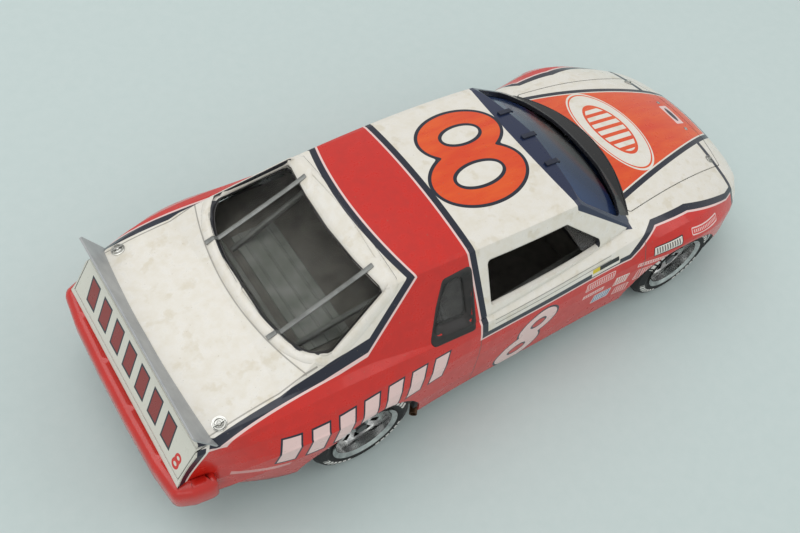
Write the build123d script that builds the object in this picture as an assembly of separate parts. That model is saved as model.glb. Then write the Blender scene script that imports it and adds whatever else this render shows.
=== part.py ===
"""Scale model of a 1980s stock-car coupe, built up as a kit is, in millimetres.

+X runs to the nose, +Y to the car's left, +Z up; the tyres stand on z = 0.
Root pieces are the shell, glass, cabin, chassis and drivetrain. Each of the
four wheels (a rim and its tyre) turns on its own stub axle, about Y.
"""
import os
from math import hypot

from build123d import *

os.makedirs("parts", exist_ok=True)

# Running gear
WHEELBASE = 116.4
REAR_AXLE_X = -51.5
FRONT_AXLE_X = REAR_AXLE_X + WHEELBASE
TYRE_RADIUS = 15.2
TYRE_WIDTH = 10.4
TYRE_SHOULDER = 2.2
TYRE_BULGE = 2.0
RIM_RADIUS = 9.6
RIM_FLANGE = 0.6
WHEEL_FACE_Y = 40.2
STUB_RADIUS = 1.0
BORE_CLEARANCE = 0.05
SIDE_PLAY = 0.35
SEAT_GAP = 0.05

# Body shell
SHELL_WALL = 1.2
GLASS_WALL = 0.8
PANEL_GAP = 0.2
ARCH_RADIUS = 19.6
ARCH_CENTRE_DROP = 6.4
ARCH_REAR_SHIFT = 1.0
TAIL_TOP_X = -93.6
TAIL_TOP_Z = 39.6
TAIL_LOW_X = -101.4
TAIL_LOW_Z = 26.0
GLASS_TOP_Z = 58.0
GLASS_BASE_Z = 38.0
CABIN_FOOT = 8.0
OUTER_FOOT = 3.0

# Floor and cabin
PAN_Z = 7.0
PAN_WALL = 1.2
PAN_HALF_WIDTH = 37.3
PAN_NECK_HALF_WIDTH = 24.0
TUNNEL_HALF_WIDTH = 5.0
TUNNEL_HEIGHT = 9.5
CABIN_REAR_X = -34.0
CABIN_FRONT_X = 38.0
CABIN_WALL = 1.0
DASH_TOP_Z = 36.0
SHELF_Z = 35.0
SHELF_REAR_X = -76.0
CAGE_TUBE = 0.9
CAGE_SIDES = 8
CAGE_LAP = 0.5
RAIL_HALF_GAP = 19.0
RAIL_WIDTH = 3.0
RAIL_HEIGHT = 2.2
PIPE_RADIUS = 1.15
PIPE_WALL = 0.3

# How far cutters and spare lengths reach past what they cut, and the height
# and half width that take in the whole car.
REACH = 10.0
CAR_TOP_Z = 70.0
CAR_HALF_WIDTH = 50.0

# Lower body stations, tail to nose. Columns: x, then half width and height of
# the sill, waist, shoulder and top edge, then the height of the crown.
STATIONS = [
    (-104.0, 33.0, 18.0, 34.6, 25.0, 34.2, 33.0, 32.0, 38.0, 39.4),
    (-84.0, 35.8, 14.0, 38.4, 24.0, 37.0, 33.0, 33.6, 39.8, 42.2),
    (-51.5, 40.0, 10.0, 42.4, 27.0, 40.4, 34.0, 35.2, 40.6, 44.6),
    (-20.0, 38.6, 8.8, 39.6, 20.0, 38.8, 31.4, 36.4, 38.2, 43.0),
    (12.0, 38.6, 8.8, 39.2, 20.0, 38.4, 30.0, 36.2, 36.6, 42.0),
    (42.0, 38.8, 8.8, 39.8, 20.0, 38.4, 30.0, 34.2, 36.2, 42.6),
    (64.9, 40.0, 9.4, 42.4, 27.0, 39.8, 33.0, 32.8, 35.6, 39.6),
    (84.0, 37.6, 9.0, 39.4, 22.0, 36.8, 28.0, 30.6, 31.4, 35.4),
    (96.0, 32.0, 9.0, 33.6, 19.0, 32.0, 24.6, 27.6, 27.4, 31.4),
    (103.8, 24.0, 9.4, 25.0, 18.0, 24.2, 22.2, 21.4, 24.4, 27.2),
]
# How far the corners of a section are planed off along both of their sides.
CORNER_CUTS = {"waist": 4.5, "shoulder": 2.6, "edge": 1.5}
CUT_SHARE = 0.4
# How the inner face of the shell shrinks: the sill runs out at the bottom, and
# the shoulder and edge move by a part of the wall in their second direction.
SILL_RUN_OUT = 8.0
SHOULDER_SINK = 0.4
EDGE_SHRINK = 0.6

# Roof stations. Columns: x, height at the side of the roof, height of the crown.
ROOF_HALF_SPAN = 40.0
ROOF_BREAK_Y = 24.0
ROOF_BREAK_DROP = 6.4
ROOF_STATIONS = [
    (70.0, 43.0, 45.0),
    (22.0, 53.6, 55.8),
    (-8.0, 55.3, 57.4),
    (-40.0, 55.2, 57.2),
    (-95.0, 48.0, 50.0),
]


def planed(points, cuts):
    """Outline whose inner corners are planed off, by a part of each side at most."""
    outline = [points[0]]
    for before, corner, after, cut in zip(points, points[1:], points[2:], cuts):
        for neighbour in (before, after):
            side = Vector(*neighbour) - Vector(*corner)
            way = side.normalized() * min(cut, CUT_SHARE * side.length)
            outline.append((corner[0] + way.X, corner[1] + way.Y))
    return outline + [points[-1]]


def body_section(station, inset):
    """One section across the lower body, offset inwards by inset."""
    x, sill_y, sill_z, waist_y, waist_z, shoulder_y, shoulder_z, edge_y, edge_z, crown_z = station
    bottom = sill_z - SILL_RUN_OUT * inset if inset > 0 else sill_z + inset
    corners = [
        (sill_y - inset, bottom),
        (waist_y - inset, waist_z),
        (shoulder_y - inset, shoulder_z - SHOULDER_SINK * inset),
        (edge_y - EDGE_SHRINK * inset, edge_z - inset),
        (0, crown_z - inset),
    ]
    side = planed(corners, CORNER_CUTS.values())[:-1]
    other = [(-y, z) for y, z in reversed(side)]
    outline = Polyline(*side) + ThreePointArc(side[-1], corners[-1], other[0])
    outline += Polyline(*other, side[0])
    return Plane.YZ.offset(x) * make_face(outline)


def lower_body(inset):
    """Solid of the lower body: a loft of the stations, cut to the raked tail."""
    last = STATIONS[-1]
    sections = [body_section(station, inset) for station in STATIONS[:-1]]
    sections.append(body_section((last[0] - inset,) + last[1:], inset))
    rise = TAIL_TOP_Z - TAIL_LOW_Z
    run = TAIL_TOP_X - TAIL_LOW_X
    shift = inset * hypot(run, rise) / rise
    top_z = TAIL_TOP_Z + REACH
    far_x = STATIONS[0][0] - REACH
    behind = Polyline(
        (TAIL_TOP_X + shift + REACH * run / rise, top_z),
        (TAIL_LOW_X + shift, TAIL_LOW_Z),
        (TAIL_LOW_X + shift, -REACH),
        (far_x, -REACH),
        (far_x, top_z),
        close=True,
    )
    return loft(sections) - extrude(Plane.XZ * make_face(behind), CAR_HALF_WIDTH, both=True)


def greenhouse_section(z, front_mid, front_x, front_y, side_x, side_y, rear_mid, rear_x, rear_y):
    """Plan outline of the cabin at one height: bowed ends and bowed sides."""
    outline = ThreePointArc((front_x, front_y), (front_mid, 0), (front_x, -front_y))
    outline += ThreePointArc((front_x, -front_y), (side_x, -side_y), (rear_x, -rear_y))
    outline += ThreePointArc((rear_x, -rear_y), (rear_mid, 0), (rear_x, rear_y))
    outline += ThreePointArc((rear_x, rear_y), (side_x, side_y), (front_x, front_y))
    return Plane.XY.offset(z) * make_face(outline)


# Cabin outline at its base and at its top. Columns: front middle x, front corner
# x and y, side middle x and y, rear middle x, rear corner x and y.
CABIN_BASE = (54.8, 43.2, 31.4, -10.0, 35.7, -84.0, -80.0, 33.2)
CABIN_TOP = (22.6, 17.4, 23.6, -10.0, 23.4, -35.2, -33.4, 22.6)
FRONT_COLUMN = 0
SIDE_COLUMN = 4
REAR_COLUMN = 5


def slope_shift(column, inset):
    """How far a sloping wall of the cabin moves sideways when it is offset by inset."""
    rise = GLASS_TOP_Z - GLASS_BASE_Z
    return inset * hypot(CABIN_BASE[column] - CABIN_TOP[column], rise) / rise


def roof_section(station, inset):
    """One section of the space under the roof: a crown and a break at each side."""
    x, side_z, crown_z = station
    edge = (ROOF_BREAK_Y, side_z - inset)
    wing = (ROOF_HALF_SPAN, side_z - ROOF_BREAK_DROP - inset)
    outline = ThreePointArc(edge, (0, crown_z - inset), (-edge[0], edge[1]))
    outline += Polyline((-edge[0], edge[1]), (-wing[0], wing[1]), (-wing[0], 0), (wing[0], 0), wing, edge)
    return Plane.YZ.offset(x) * make_face(outline)


def greenhouse(inset):
    """Solid of the cabin above the belt, offset inwards by inset."""
    front = slope_shift(FRONT_COLUMN, inset)
    rear = slope_shift(REAR_COLUMN, inset)
    side = slope_shift(SIDE_COLUMN, inset)
    rows = []
    for row in (CABIN_BASE, CABIN_TOP):
        front_mid, front_x, front_y, side_x, side_y, rear_mid, rear_x, rear_y = row
        rows.append((
            front_mid - front, front_x - front, front_y - side,
            side_x, side_y - side,
            rear_mid + rear, rear_x + rear, rear_y - side,
        ))
    base = greenhouse_section(GLASS_BASE_Z, *rows[0])
    top = greenhouse_section(GLASS_TOP_Z, *rows[1])
    walls = loft([base, top], ruled=True)
    walls += extrude(base, -CABIN_FOOT if inset > 0 else -OUTER_FOOT)
    roof = loft([roof_section(station, inset) for station in ROOF_STATIONS])
    return walls & roof


def plan_prism(points, radius, grow=0.0):
    """Upright prism on a plan outline, with rounded corners."""
    face = make_face(Polyline(*points, close=True))
    face = fillet(face.vertices(), radius)
    if grow:
        face = offset(face, grow)
    return extrude(Plane.XY * face, CAR_TOP_Z)


def side_prism(points, radius, grow=0.0):
    """Prism across the car on an outline in the side view, through both sides."""
    face = make_face(Polyline(*points, close=True))
    face = fillet(face.vertices(), radius)
    if grow:
        face = offset(face, grow)
    return extrude(Plane.XZ * face, CAR_HALF_WIDTH, both=True)


# Openings. Plan outlines are x, y; side outlines are x, z.
REAR_WINDOW = [
    (-37.4, 23.6), (-59.0, 29.4), (-63.6, 24.0), (-66.4, 12.0),
    (-66.4, -12.0), (-63.6, -24.0), (-59.0, -29.4), (-37.4, -23.6), (-36.2, 0),
]
WINDSHIELD = [
    (24.6, 24.6), (40.8, 29.0), (44.6, 22.0), (47.4, 11.0),
    (47.4, -11.0), (44.6, -22.0), (40.8, -29.0), (24.6, -24.6), (27.0, 0),
]
DOOR_WINDOW = [(-9.4, 51.2), (-10.6, 39.6), (31.0, 37.6), (30.4, 40.2), (18.6, 49.4)]
QUARTER_WINDOW = [(-15.0, 51.0), (-17.4, 38.6), (-30.4, 39.6), (-23.6, 50.6)]
HOOD = [
    (46.2, 27.6), (95.4, 22.6), (98.0, 12.0), (98.0, -12.0),
    (95.4, -22.6), (46.2, -27.6), (51.6, -14.0), (53.4, 0), (51.6, 14.0),
]
HOOD_RADIUS = 1.0
WINDOW_RADIUS = 1.2
QUARTER_RADIUS = 1.6
LARGE_RADIUS = 3.0
TAIL_SPAN_X = (-110.0, -90.0)
TAIL_PANEL_HALF_WIDTH = 31.6
TAIL_PANEL_LOW_Z = 27.4
TAIL_PANEL_TOP_Z = 37.4
BUMPER_SPLIT_X = 88.0
BUMPER_SPLIT_Z = 17.0
NOSE_X = STATIONS[-1][0]

# Parts of the car that panels and panes are taken from. Columns: x, y and z spans.
ZONES = {
    "hood": (44.0, 110.0, -40.0, 40.0, 26.0, CAR_TOP_Z),
    "rear_window": (-80.0, -30.0, -40.0, 40.0, 42.0, CAR_TOP_Z),
    "windshield": (20.0, 60.0, -40.0, 40.0, 38.0, CAR_TOP_Z),
    "above_deck": (-80.0, 60.0, -40.0, 40.0, 41.0, CAR_TOP_Z),
}
ARCH_DEPTH = 30.0
ARCH_INNER_GAP = 3.0


def arch_cutter():
    """The four wheel openings, from inside the wheels outwards."""
    cutters = Part()
    middle_y = WHEEL_FACE_Y - TYRE_WIDTH - ARCH_INNER_GAP + ARCH_DEPTH / 2
    for axle_x in (REAR_AXLE_X, FRONT_AXLE_X):
        for y in (middle_y, -middle_y):
            centre = (axle_x - ARCH_REAR_SHIFT, y, TYRE_RADIUS - ARCH_CENTRE_DROP)
            cutters += Pos(*centre) * Rot(90, 0, 0) * Cylinder(ARCH_RADIUS, ARCH_DEPTH)
    return cutters


def solid_box(x0, x1, y0, y1, z0, z1):
    """Box from its lowest and highest corners."""
    centre = Pos((x0 + x1) / 2, (y0 + y1) / 2, (z0 + z1) / 2)
    return centre * Box(x1 - x0, y1 - y0, z1 - z0)


def bar(start, end, radius):
    """Round bar between two points."""
    a = Vector(*start)
    b = Vector(*end)
    plane = Plane(origin=a, z_dir=b - a)
    return plane * extrude(Circle(radius), (b - a).length)


def both_sides(piece):
    """A piece and its mirror image across the car's centre plane."""
    return piece + mirror(piece, about=Plane.XZ)


def write(name, shape):
    """Write one node."""
    shape.label = name
    export_step(shape, f"parts/{name}.step")


# Shell, hood and the panels let into it
outer_body = lower_body(0)
inner_body = lower_body(SHELL_WALL)
outer_cabin = greenhouse(0)
inner_cabin = greenhouse(SHELL_WALL)
hollow = inner_body + inner_cabin
trim_body = lower_body(-SEAT_GAP)
skin = (outer_body + outer_cabin) - hollow

hood_zone = solid_box(*ZONES["hood"])
tail_zone = solid_box(
    *TAIL_SPAN_X, -TAIL_PANEL_HALF_WIDTH, TAIL_PANEL_HALF_WIDTH, TAIL_PANEL_LOW_Z, TAIL_PANEL_TOP_Z
)
tail_opening = solid_box(
    *TAIL_SPAN_X, -TAIL_PANEL_HALF_WIDTH - PANEL_GAP, TAIL_PANEL_HALF_WIDTH + PANEL_GAP,
    TAIL_PANEL_LOW_Z - PANEL_GAP, TAIL_PANEL_TOP_Z + PANEL_GAP,
)


def nose_box(grow):
    """The part of the nose that is the front bumper, grown by a gap."""
    return solid_box(
        BUMPER_SPLIT_X - grow, NOSE_X + REACH, -CAR_HALF_WIDTH, CAR_HALF_WIDTH, 0, BUMPER_SPLIT_Z + grow
    )


GRILLE_HALF_WIDTH = 17.0
GRILLE_LOW_Z = 11.0
GRILLE_TOP_Z = 16.0
grille_opening = solid_box(
    NOSE_X - REACH, NOSE_X + REACH, -GRILLE_HALF_WIDTH, GRILLE_HALF_WIDTH, GRILLE_LOW_Z, GRILLE_TOP_Z
)

LAMP_IN_Y = 11.0
LAMP_OUT_Y = 20.5
LAMP_LOW_Z = 18.4
LAMP_TOP_Z = 22.4
LAMP_DEPTH = 0.6
LAMP_PROUD = 0.1


def headlamp_blocks(gap, proud):
    """The two headlamp covers, or with no gap the pockets that they sit in."""
    return both_sides(solid_box(
        NOSE_X - LAMP_DEPTH + gap, NOSE_X + proud, LAMP_IN_Y + gap, LAMP_OUT_Y - gap,
        LAMP_LOW_Z + gap, LAMP_TOP_Z - gap,
    ))


headlamp_covers = headlamp_blocks(SEAT_GAP, LAMP_PROUD)
body_shell = skin - (plan_prism(HOOD, HOOD_RADIUS, PANEL_GAP) & hood_zone) - tail_opening
body_shell -= nose_box(PANEL_GAP) + headlamp_blocks(0, REACH)
body_shell -= plan_prism(REAR_WINDOW, LARGE_RADIUS) & solid_box(*ZONES["rear_window"])
body_shell -= plan_prism(WINDSHIELD, LARGE_RADIUS) & solid_box(*ZONES["windshield"])
body_shell -= side_prism(DOOR_WINDOW, WINDOW_RADIUS)
body_shell -= side_prism(QUARTER_WINDOW, QUARTER_RADIUS)
body_shell -= arch_cutter()
hood = skin & plan_prism(HOOD, HOOD_RADIUS) & hood_zone
tail_panel = skin & tail_zone
front_bumper = (skin & nose_box(0)) - grille_opening - arch_cutter()

# Glass: panes seated on the inside of the shell
pane_outer = greenhouse(SHELL_WALL + SEAT_GAP)
pane_inner = greenhouse(SHELL_WALL + SEAT_GAP + GLASS_WALL)
pane_skin = pane_outer - pane_inner
PANE_LAP = 1.0
above_deck = solid_box(*ZONES["above_deck"])
rear_window = pane_skin & plan_prism(REAR_WINDOW, LARGE_RADIUS, PANE_LAP) & above_deck
rear_window -= trim_body
windshield = pane_skin & plan_prism(WINDSHIELD, LARGE_RADIUS, PANE_LAP)
windshield -= trim_body
quarter_windows = pane_skin & side_prism(QUARTER_WINDOW, QUARTER_RADIUS, PANE_LAP)
quarter_windows -= trim_body


# Panels and trim on the outside of the body
BUMPER_LOW_Z = 17.6
BUMPER_TOP_Z = 25.4
BUMPER_FRONT_X = -90.0
BUMPER_REACH = 2.6
# Corners of the bumper in plan. Columns: x from the tail's foot, half width.
BUMPER_CORNERS = [(-1.0, 35.6), (3.4, 37.4)]
BUMPER_END_Y = 38.6
SPOILER_HEIGHT = 4.8
SPOILER_WALL = 0.6
SPOILER_LEAN = 2.6
SPOILER_HALF_WIDTH = 33.0
SPOILER_FOOT = 2.6
SPOILER_LIP_Z = 40.6
SPOILER_LIP = 0.4
SPOILER_ROOT = 1.2
SPOILER_SINK = 3.0
STRAP_Y = 16.7
STRAP_WIDTH = 1.3
STRAP_WALL = 0.35
STRAP_TOP_X = -35.6
STRAP_LOW_X = -70.0
CLIP_SPACING = 11.0
CLIP_SIZE = 1.4
CLIP_RISE = 0.6
CLIP_SPAN_X = (22.5, 27.5)
DECK_PIN = (-88.0, 29.0, 1.1)
HOOD_PIN = (91.8, 19.8, 0.9)
NOSE_PIN = (93.7, 6.8, 0.55)
PIN_HEIGHT = 0.9
NOSE_PIN_HEIGHT = 0.54
DAM_LOW_Z = 4.6
DAM_TOP_Z = 10.8
DAM_WALL = 1.0
DAM_RADIUS = 3.0
DAM_STEP = 0.5
DAM_REAR_X = 84.0


def rear_bumper_piece():
    """Wrap-round bumper, hollowed where the body passes through it."""
    side = [(TAIL_LOW_X + x, y) for x, y in BUMPER_CORNERS] + [(BUMPER_FRONT_X, BUMPER_END_Y)]
    other = [(x, -y) for x, y in side]
    outline = ThreePointArc(side[0], (TAIL_LOW_X - BUMPER_REACH, 0), other[0])
    outline += Polyline(*other, *reversed(side))
    bar_solid = extrude(Plane.XY.offset(BUMPER_LOW_Z) * make_face(outline), BUMPER_TOP_Z - BUMPER_LOW_Z)
    return bar_solid - trim_body


def spoiler_piece():
    """Blade that leans back off a foot on the deck's rear edge."""
    foot_x = TAIL_TOP_X + SPOILER_FOOT
    low_z = TAIL_TOP_Z - SPOILER_SINK
    root_x = TAIL_TOP_X + SPOILER_ROOT
    top_z = SPOILER_LIP_Z + SPOILER_HEIGHT
    profile = Polyline(
        (foot_x, low_z), (foot_x, SPOILER_LIP_Z + SPOILER_LIP), (root_x, SPOILER_LIP_Z + SPOILER_LIP),
        (root_x - SPOILER_LEAN, top_z), (root_x - SPOILER_LEAN - SPOILER_WALL, top_z),
        (TAIL_TOP_X + SPOILER_LIP, low_z), close=True,
    )
    blade = extrude(Plane.XZ * make_face(profile), SPOILER_HALF_WIDTH, both=True)
    return blade - trim_body


def strap_pieces():
    """Two flat straps laid over the rear window."""
    layer = greenhouse(-STRAP_WALL - SEAT_GAP) - greenhouse(-SEAT_GAP)
    half = STRAP_WIDTH / 2
    zone = solid_box(STRAP_LOW_X, STRAP_TOP_X, STRAP_Y - half, STRAP_Y + half, GLASS_BASE_Z, CAR_TOP_Z)
    return both_sides(layer & zone) - trim_body


def clip_pieces():
    """Three small clips on the roof's front edge, over the windshield."""
    layer = greenhouse(-CLIP_RISE) - greenhouse(-SEAT_GAP)
    half = CLIP_SIZE / 2
    clips = Part()
    for row in (-1, 0, 1):
        y = row * CLIP_SPACING
        clips += layer & solid_box(*CLIP_SPAN_X, y - half, y + half, GLASS_BASE_Z + REACH, CAR_TOP_Z)
    return clips


rear_bumper = rear_bumper_piece()
rear_spoiler = spoiler_piece()
rear_window_straps = strap_pieces()
windshield_clips = clip_pieces()


PROBE = 0.1
PIN_LENGTH = 3.0


def surface_z(x, y):
    """Height of the body's outside at one place."""
    probe = solid_box(x - PROBE, x + PROBE, y - PROBE, y + PROBE, BUMPER_TOP_Z, CAR_TOP_Z) & outer_body
    return probe.bounding_box().max.Z


def pin_set(x, y, radius, height):
    """A mirrored pair of pins that stand a little above the panel."""
    post = Pos(x, y, surface_z(x, y) + height - PIN_LENGTH / 2) * Cylinder(radius, PIN_LENGTH)
    return both_sides(post - trim_body)


def air_dam_piece():
    """Upright lip behind the front bumper's lower edge, following it in plan."""
    inset = SHELL_WALL + 3 * SEAT_GAP
    side = [(x, sill_y - inset) for x, sill_y, *_ in STATIONS[-3:-1]]
    side.append((NOSE_X - inset, STATIONS[-1][1] - inset))
    outline = make_face(Polyline(*side, *[(x, -y) for x, y in reversed(side)], close=True))
    outline = fillet(outline.vertices().sort_by(Axis.X)[-4:], DAM_RADIUS)
    ring = outline - offset(outline, -DAM_WALL)
    dam = extrude(Plane.XY.offset(DAM_LOW_Z) * ring, DAM_TOP_Z - DAM_LOW_Z)
    start_x = DAM_REAR_X + DAM_WALL + DAM_STEP
    return dam & solid_box(start_x, NOSE_X, -CAR_HALF_WIDTH, CAR_HALF_WIDTH, 0, DAM_TOP_Z)


deck_pins = pin_set(*DECK_PIN, PIN_HEIGHT)
hood_pins = pin_set(*HOOD_PIN, PIN_HEIGHT) + pin_set(*NOSE_PIN, NOSE_PIN_HEIGHT)
front_air_dam = air_dam_piece()
VENT_RADIUS = 0.4
VENT = [(17.4, 49.8), (24.6, 38.2), (31.4, 37.4), (31.0, 40.6), (19.0, 50.0)]
vent_panes = (pane_skin & side_prism(VENT, VENT_RADIUS)) - trim_body


GRILLE_DEPTH = 1.0
GRILLE_SETBACK = 0.9
GRILLE_BAR = 0.5
GRILLE_COLUMNS = 8
GRILLE_ROWS = 3


def grille_piece():
    """Slats and uprights in one frame that fills the bumper's opening."""
    face_x = NOSE_X - GRILLE_SETBACK
    half = GRILLE_HALF_WIDTH - SEAT_GAP
    low = GRILLE_LOW_Z + SEAT_GAP
    high = GRILLE_TOP_Z - SEAT_GAP
    frame = solid_box(face_x - GRILLE_DEPTH, face_x, -half, half, low, high)
    pitch_y = (2 * half - GRILLE_BAR) / GRILLE_COLUMNS
    pitch_z = (high - low - GRILLE_BAR) / GRILLE_ROWS
    for column in range(GRILLE_COLUMNS):
        for row in range(GRILLE_ROWS):
            y0 = -half + GRILLE_BAR + column * pitch_y
            z0 = low + GRILLE_BAR + row * pitch_z
            frame -= solid_box(
                face_x - 2 * GRILLE_DEPTH, face_x + GRILLE_DEPTH,
                y0, y0 + pitch_y - GRILLE_BAR, z0, z0 + pitch_z - GRILLE_BAR,
            )
    return frame


grille = grille_piece()

# Floor pan, frame and cabin
PAN_REAR_X = -34.0
PAN_WIDE_X = 46.0
PAN_FRONT_X = 92.0
PAN_TOP_Z = PAN_Z + PAN_WALL
TUNNEL_TOP_Z = PAN_TOP_Z + TUNNEL_HEIGHT
TUNNEL_OPEN_X = (-30.0, 36.0)
LIP_HEIGHT = 4.0
LIP_WALL = 1.0
FLOOR_TOP_Z = PAN_TOP_Z + CABIN_WALL
TUB_INSET = 1.4
TUB_CLEARANCE = 0.3
SHELF_HALF_WIDTH = 34.0
# Underside of a frame rail from nose to tail, rising over the rear axle.
# Columns: x, height, how far forward the top edge is.
RAIL_LINE = [
    (88.0, PAN_Z - RAIL_HEIGHT, 0.0),
    (-35.4, PAN_Z - RAIL_HEIGHT, 0.8),
    (-44.6, 19.6, 1.0),
    (-62.8, 19.6, 0.8),
    (-70.6, 12.0, 0.6),
    (-88.0, 12.0, 0.0),
]
RAIL_ARCH_Z = RAIL_LINE[2][1]
RAIL_TAIL_Z = RAIL_LINE[-1][1]
# Bars between the rails. Columns: x of the rear face, height of the underside.
CROSS_BARS = [(-86.5, RAIL_TAIL_Z), (60.0, PAN_Z - RAIL_HEIGHT), (86.0, PAN_Z - RAIL_HEIGHT)]
CROSS_BAR_LENGTH = 2.0


def floor_pan_piece():
    """Flat pan, narrow between the front wheels, open under the tunnel."""
    pan = solid_box(PAN_REAR_X, PAN_WIDE_X, -PAN_HALF_WIDTH, PAN_HALF_WIDTH, PAN_Z, PAN_TOP_Z)
    neck = PAN_NECK_HALF_WIDTH
    pan += solid_box(PAN_WIDE_X, PAN_FRONT_X, -neck, neck, PAN_Z, PAN_TOP_Z)
    inner = TUNNEL_HALF_WIDTH - CABIN_WALL
    pan -= solid_box(*TUNNEL_OPEN_X, -inner, inner, 0, CAR_TOP_Z)
    lip = solid_box(
        PAN_REAR_X, PAN_WIDE_X, PAN_HALF_WIDTH - LIP_WALL, PAN_HALF_WIDTH, PAN_TOP_Z, PAN_TOP_Z + LIP_HEIGHT
    )
    return (pan + both_sides(lip)) - arch_cutter()


def cabin_piece():
    """Cabin floor with its tunnel, the firewall, the rear bulkhead and the shelf."""
    half = PAN_HALF_WIDTH - TUB_INSET
    end_x = CABIN_FRONT_X + CABIN_WALL
    tub = solid_box(CABIN_REAR_X, CABIN_FRONT_X, -half, half, PAN_TOP_Z, FLOOR_TOP_Z)
    for x in (CABIN_REAR_X, CABIN_FRONT_X):
        tub += solid_box(x, x + CABIN_WALL, -half, half, PAN_TOP_Z, DASH_TOP_Z)
    tub += solid_box(
        SHELF_REAR_X, CABIN_REAR_X, -SHELF_HALF_WIDTH, SHELF_HALF_WIDTH, SHELF_Z, DASH_TOP_Z
    )
    wide = TUNNEL_HALF_WIDTH
    tub += solid_box(CABIN_REAR_X, end_x, -wide, wide, PAN_TOP_Z, TUNNEL_TOP_Z)
    inner = wide - CABIN_WALL
    tub -= solid_box(CABIN_REAR_X - REACH, end_x + REACH, -inner, inner, 0, TUNNEL_TOP_Z - CABIN_WALL)
    return tub & lower_body(SHELL_WALL + TUB_CLEARANCE)


def frame_rail_piece():
    """Two long rails under the pan, with the bars between them."""
    under = [(x, z) for x, z, shift in RAIL_LINE]
    over = [(x + shift, z + RAIL_HEIGHT) for x, z, shift in reversed(RAIL_LINE)]
    profile = make_face(Polyline(*under, *over, close=True))
    rails = both_sides(Plane.XZ.offset(-RAIL_HALF_GAP) * extrude(profile, -RAIL_WIDTH))
    for x, z in CROSS_BARS:
        rails += solid_box(
            x, x + CROSS_BAR_LENGTH, -RAIL_HALF_GAP, RAIL_HALF_GAP, z, z + RAIL_HEIGHT
        )
    return rails


HOOP_X = -14.0
HOOP_HALF_WIDTH = 30.0
LEG_X = 35.4
LEG_HALF_WIDTH = 26.4
# Joints of the cage on the left side. Columns: x, y, z.
CAGE_JOINTS = {
    "foot": (HOOP_X, HOOP_HALF_WIDTH, FLOOR_TOP_Z),
    "knee": (HOOP_X, HOOP_HALF_WIDTH, 34.6),
    "top": (HOOP_X, 22.2, 52.4),
    "brow": (17.6, 21.6, 51.2),
    "dash": (LEG_X, LEG_HALF_WIDTH, 36.4),
    "toe": (LEG_X, LEG_HALF_WIDTH, FLOOR_TOP_Z),
    "tail": (-60.0, 17.4, DASH_TOP_Z),
}
CAGE_RUNS = [
    ("foot", "knee"), ("knee", "top"), ("top", "brow"), ("brow", "dash"), ("dash", "toe"), ("top", "tail"),
]
DOOR_BAR_HEIGHTS = (19.0, 28.0)
DIAGONAL_FOOT_Z = 14.0


def tube(start, end):
    """Cage tube that laps a little past both of its ends."""
    run = Vector(*end) - Vector(*start)
    way = run.normalized()
    plane = Plane(origin=Vector(*start) - way * CAGE_LAP, z_dir=way)
    return plane * extrude(RegularPolygon(CAGE_TUBE, CAGE_SIDES), run.length + 2 * CAGE_LAP)


def cage_piece():
    """Main hoop with a diagonal, front legs, rear braces and door bars."""
    cage = Part()
    places = []
    for side in (1, -1):
        place = {name: (x, side * y, z) for name, (x, y, z) in CAGE_JOINTS.items()}
        places.append(place)
        for start, end in CAGE_RUNS:
            cage += tube(place[start], place[end])
        for z in DOOR_BAR_HEIGHTS:
            cage += tube((HOOP_X, side * HOOP_HALF_WIDTH, z), (LEG_X, side * LEG_HALF_WIDTH, z))
    left, right = places
    cage += tube(left["top"], right["top"])
    cage += tube(left["brow"], right["brow"])
    cage += tube((HOOP_X, -HOOP_HALF_WIDTH, DIAGONAL_FOOT_Z), left["top"])
    width = CAR_HALF_WIDTH
    cage &= solid_box(TAIL_LOW_X, NOSE_X, -width, width, FLOOR_TOP_Z, CAR_TOP_Z)
    return cage - solid_box(TAIL_LOW_X, CABIN_REAR_X, -width, width, 0, DASH_TOP_Z)


SEAT_Y = 15.0
SEAT_WIDTH = 12.0
WING_WALL = 1.2
# Side outlines of the seat's middle and of its wings. Columns: x, z.
SEAT_SIDE = [
    (10.0, FLOOR_TOP_Z), (10.0, 15.0), (-4.0, 13.4), (-9.4, 38.0), (-12.4, 37.4), (-9.0, FLOOR_TOP_Z),
]
WING_SIDE = [
    (8.0, FLOOR_TOP_Z), (8.0, 17.6), (-1.0, 17.0), (-5.6, 32.0), (-12.0, 32.6), (-9.0, FLOOR_TOP_Z),
]
# Side outline of the dashboard. Columns: distance behind the firewall, z.
DASH_SIDE = [(0.0, 26.0), (0.0, 36.0), (6.35, 36.0), (7.55, 34.0), (5.35, 27.0)]
DASH_HALF_WIDTH = 24.5
DASH_RADIUS = 0.8
WHEEL_CENTRE = (22.4, SEAT_Y, 31.4)
COLUMN_END = (32.0, SEAT_Y, 29.2)
WHEEL_RING_RADIUS = 7.0
WHEEL_RING_TUBE = 0.55
WHEEL_RING_SIDES = 6
WHEEL_HUB_RADIUS = 1.4
WHEEL_HUB_DEPTH = 1.2
WHEEL_COLUMN_RADIUS = 0.7
SPOKE_COUNT = 3
SPOKE_WIDTH = 1.0
SPOKE_WALL = 0.5
LEVER_X = 12.0
LEVER_LEAN = 1.6
LEVER_HEIGHT = 8.0
LEVER_RADIUS = 0.45
LEVER_FOOT_RADIUS = 1.6
LEVER_FOOT_HEIGHT = 1.0
KNOB_RADIUS = 1.0
KNOB_HEIGHT = 1.6


def seat_slab(outline, y, width):
    """Slab on a side outline, from y towards the car's left."""
    return Plane.XZ.offset(-y) * extrude(make_face(Polyline(*outline, close=True)), -width)


def seat_piece():
    """Bucket seat: cushion, leaning back and two side wings."""
    start_y = SEAT_Y - SEAT_WIDTH / 2
    seat = seat_slab(SEAT_SIDE, start_y, SEAT_WIDTH)
    for y in (start_y - WING_WALL, start_y + SEAT_WIDTH):
        seat += seat_slab(WING_SIDE, y, WING_WALL)
    return seat


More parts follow.
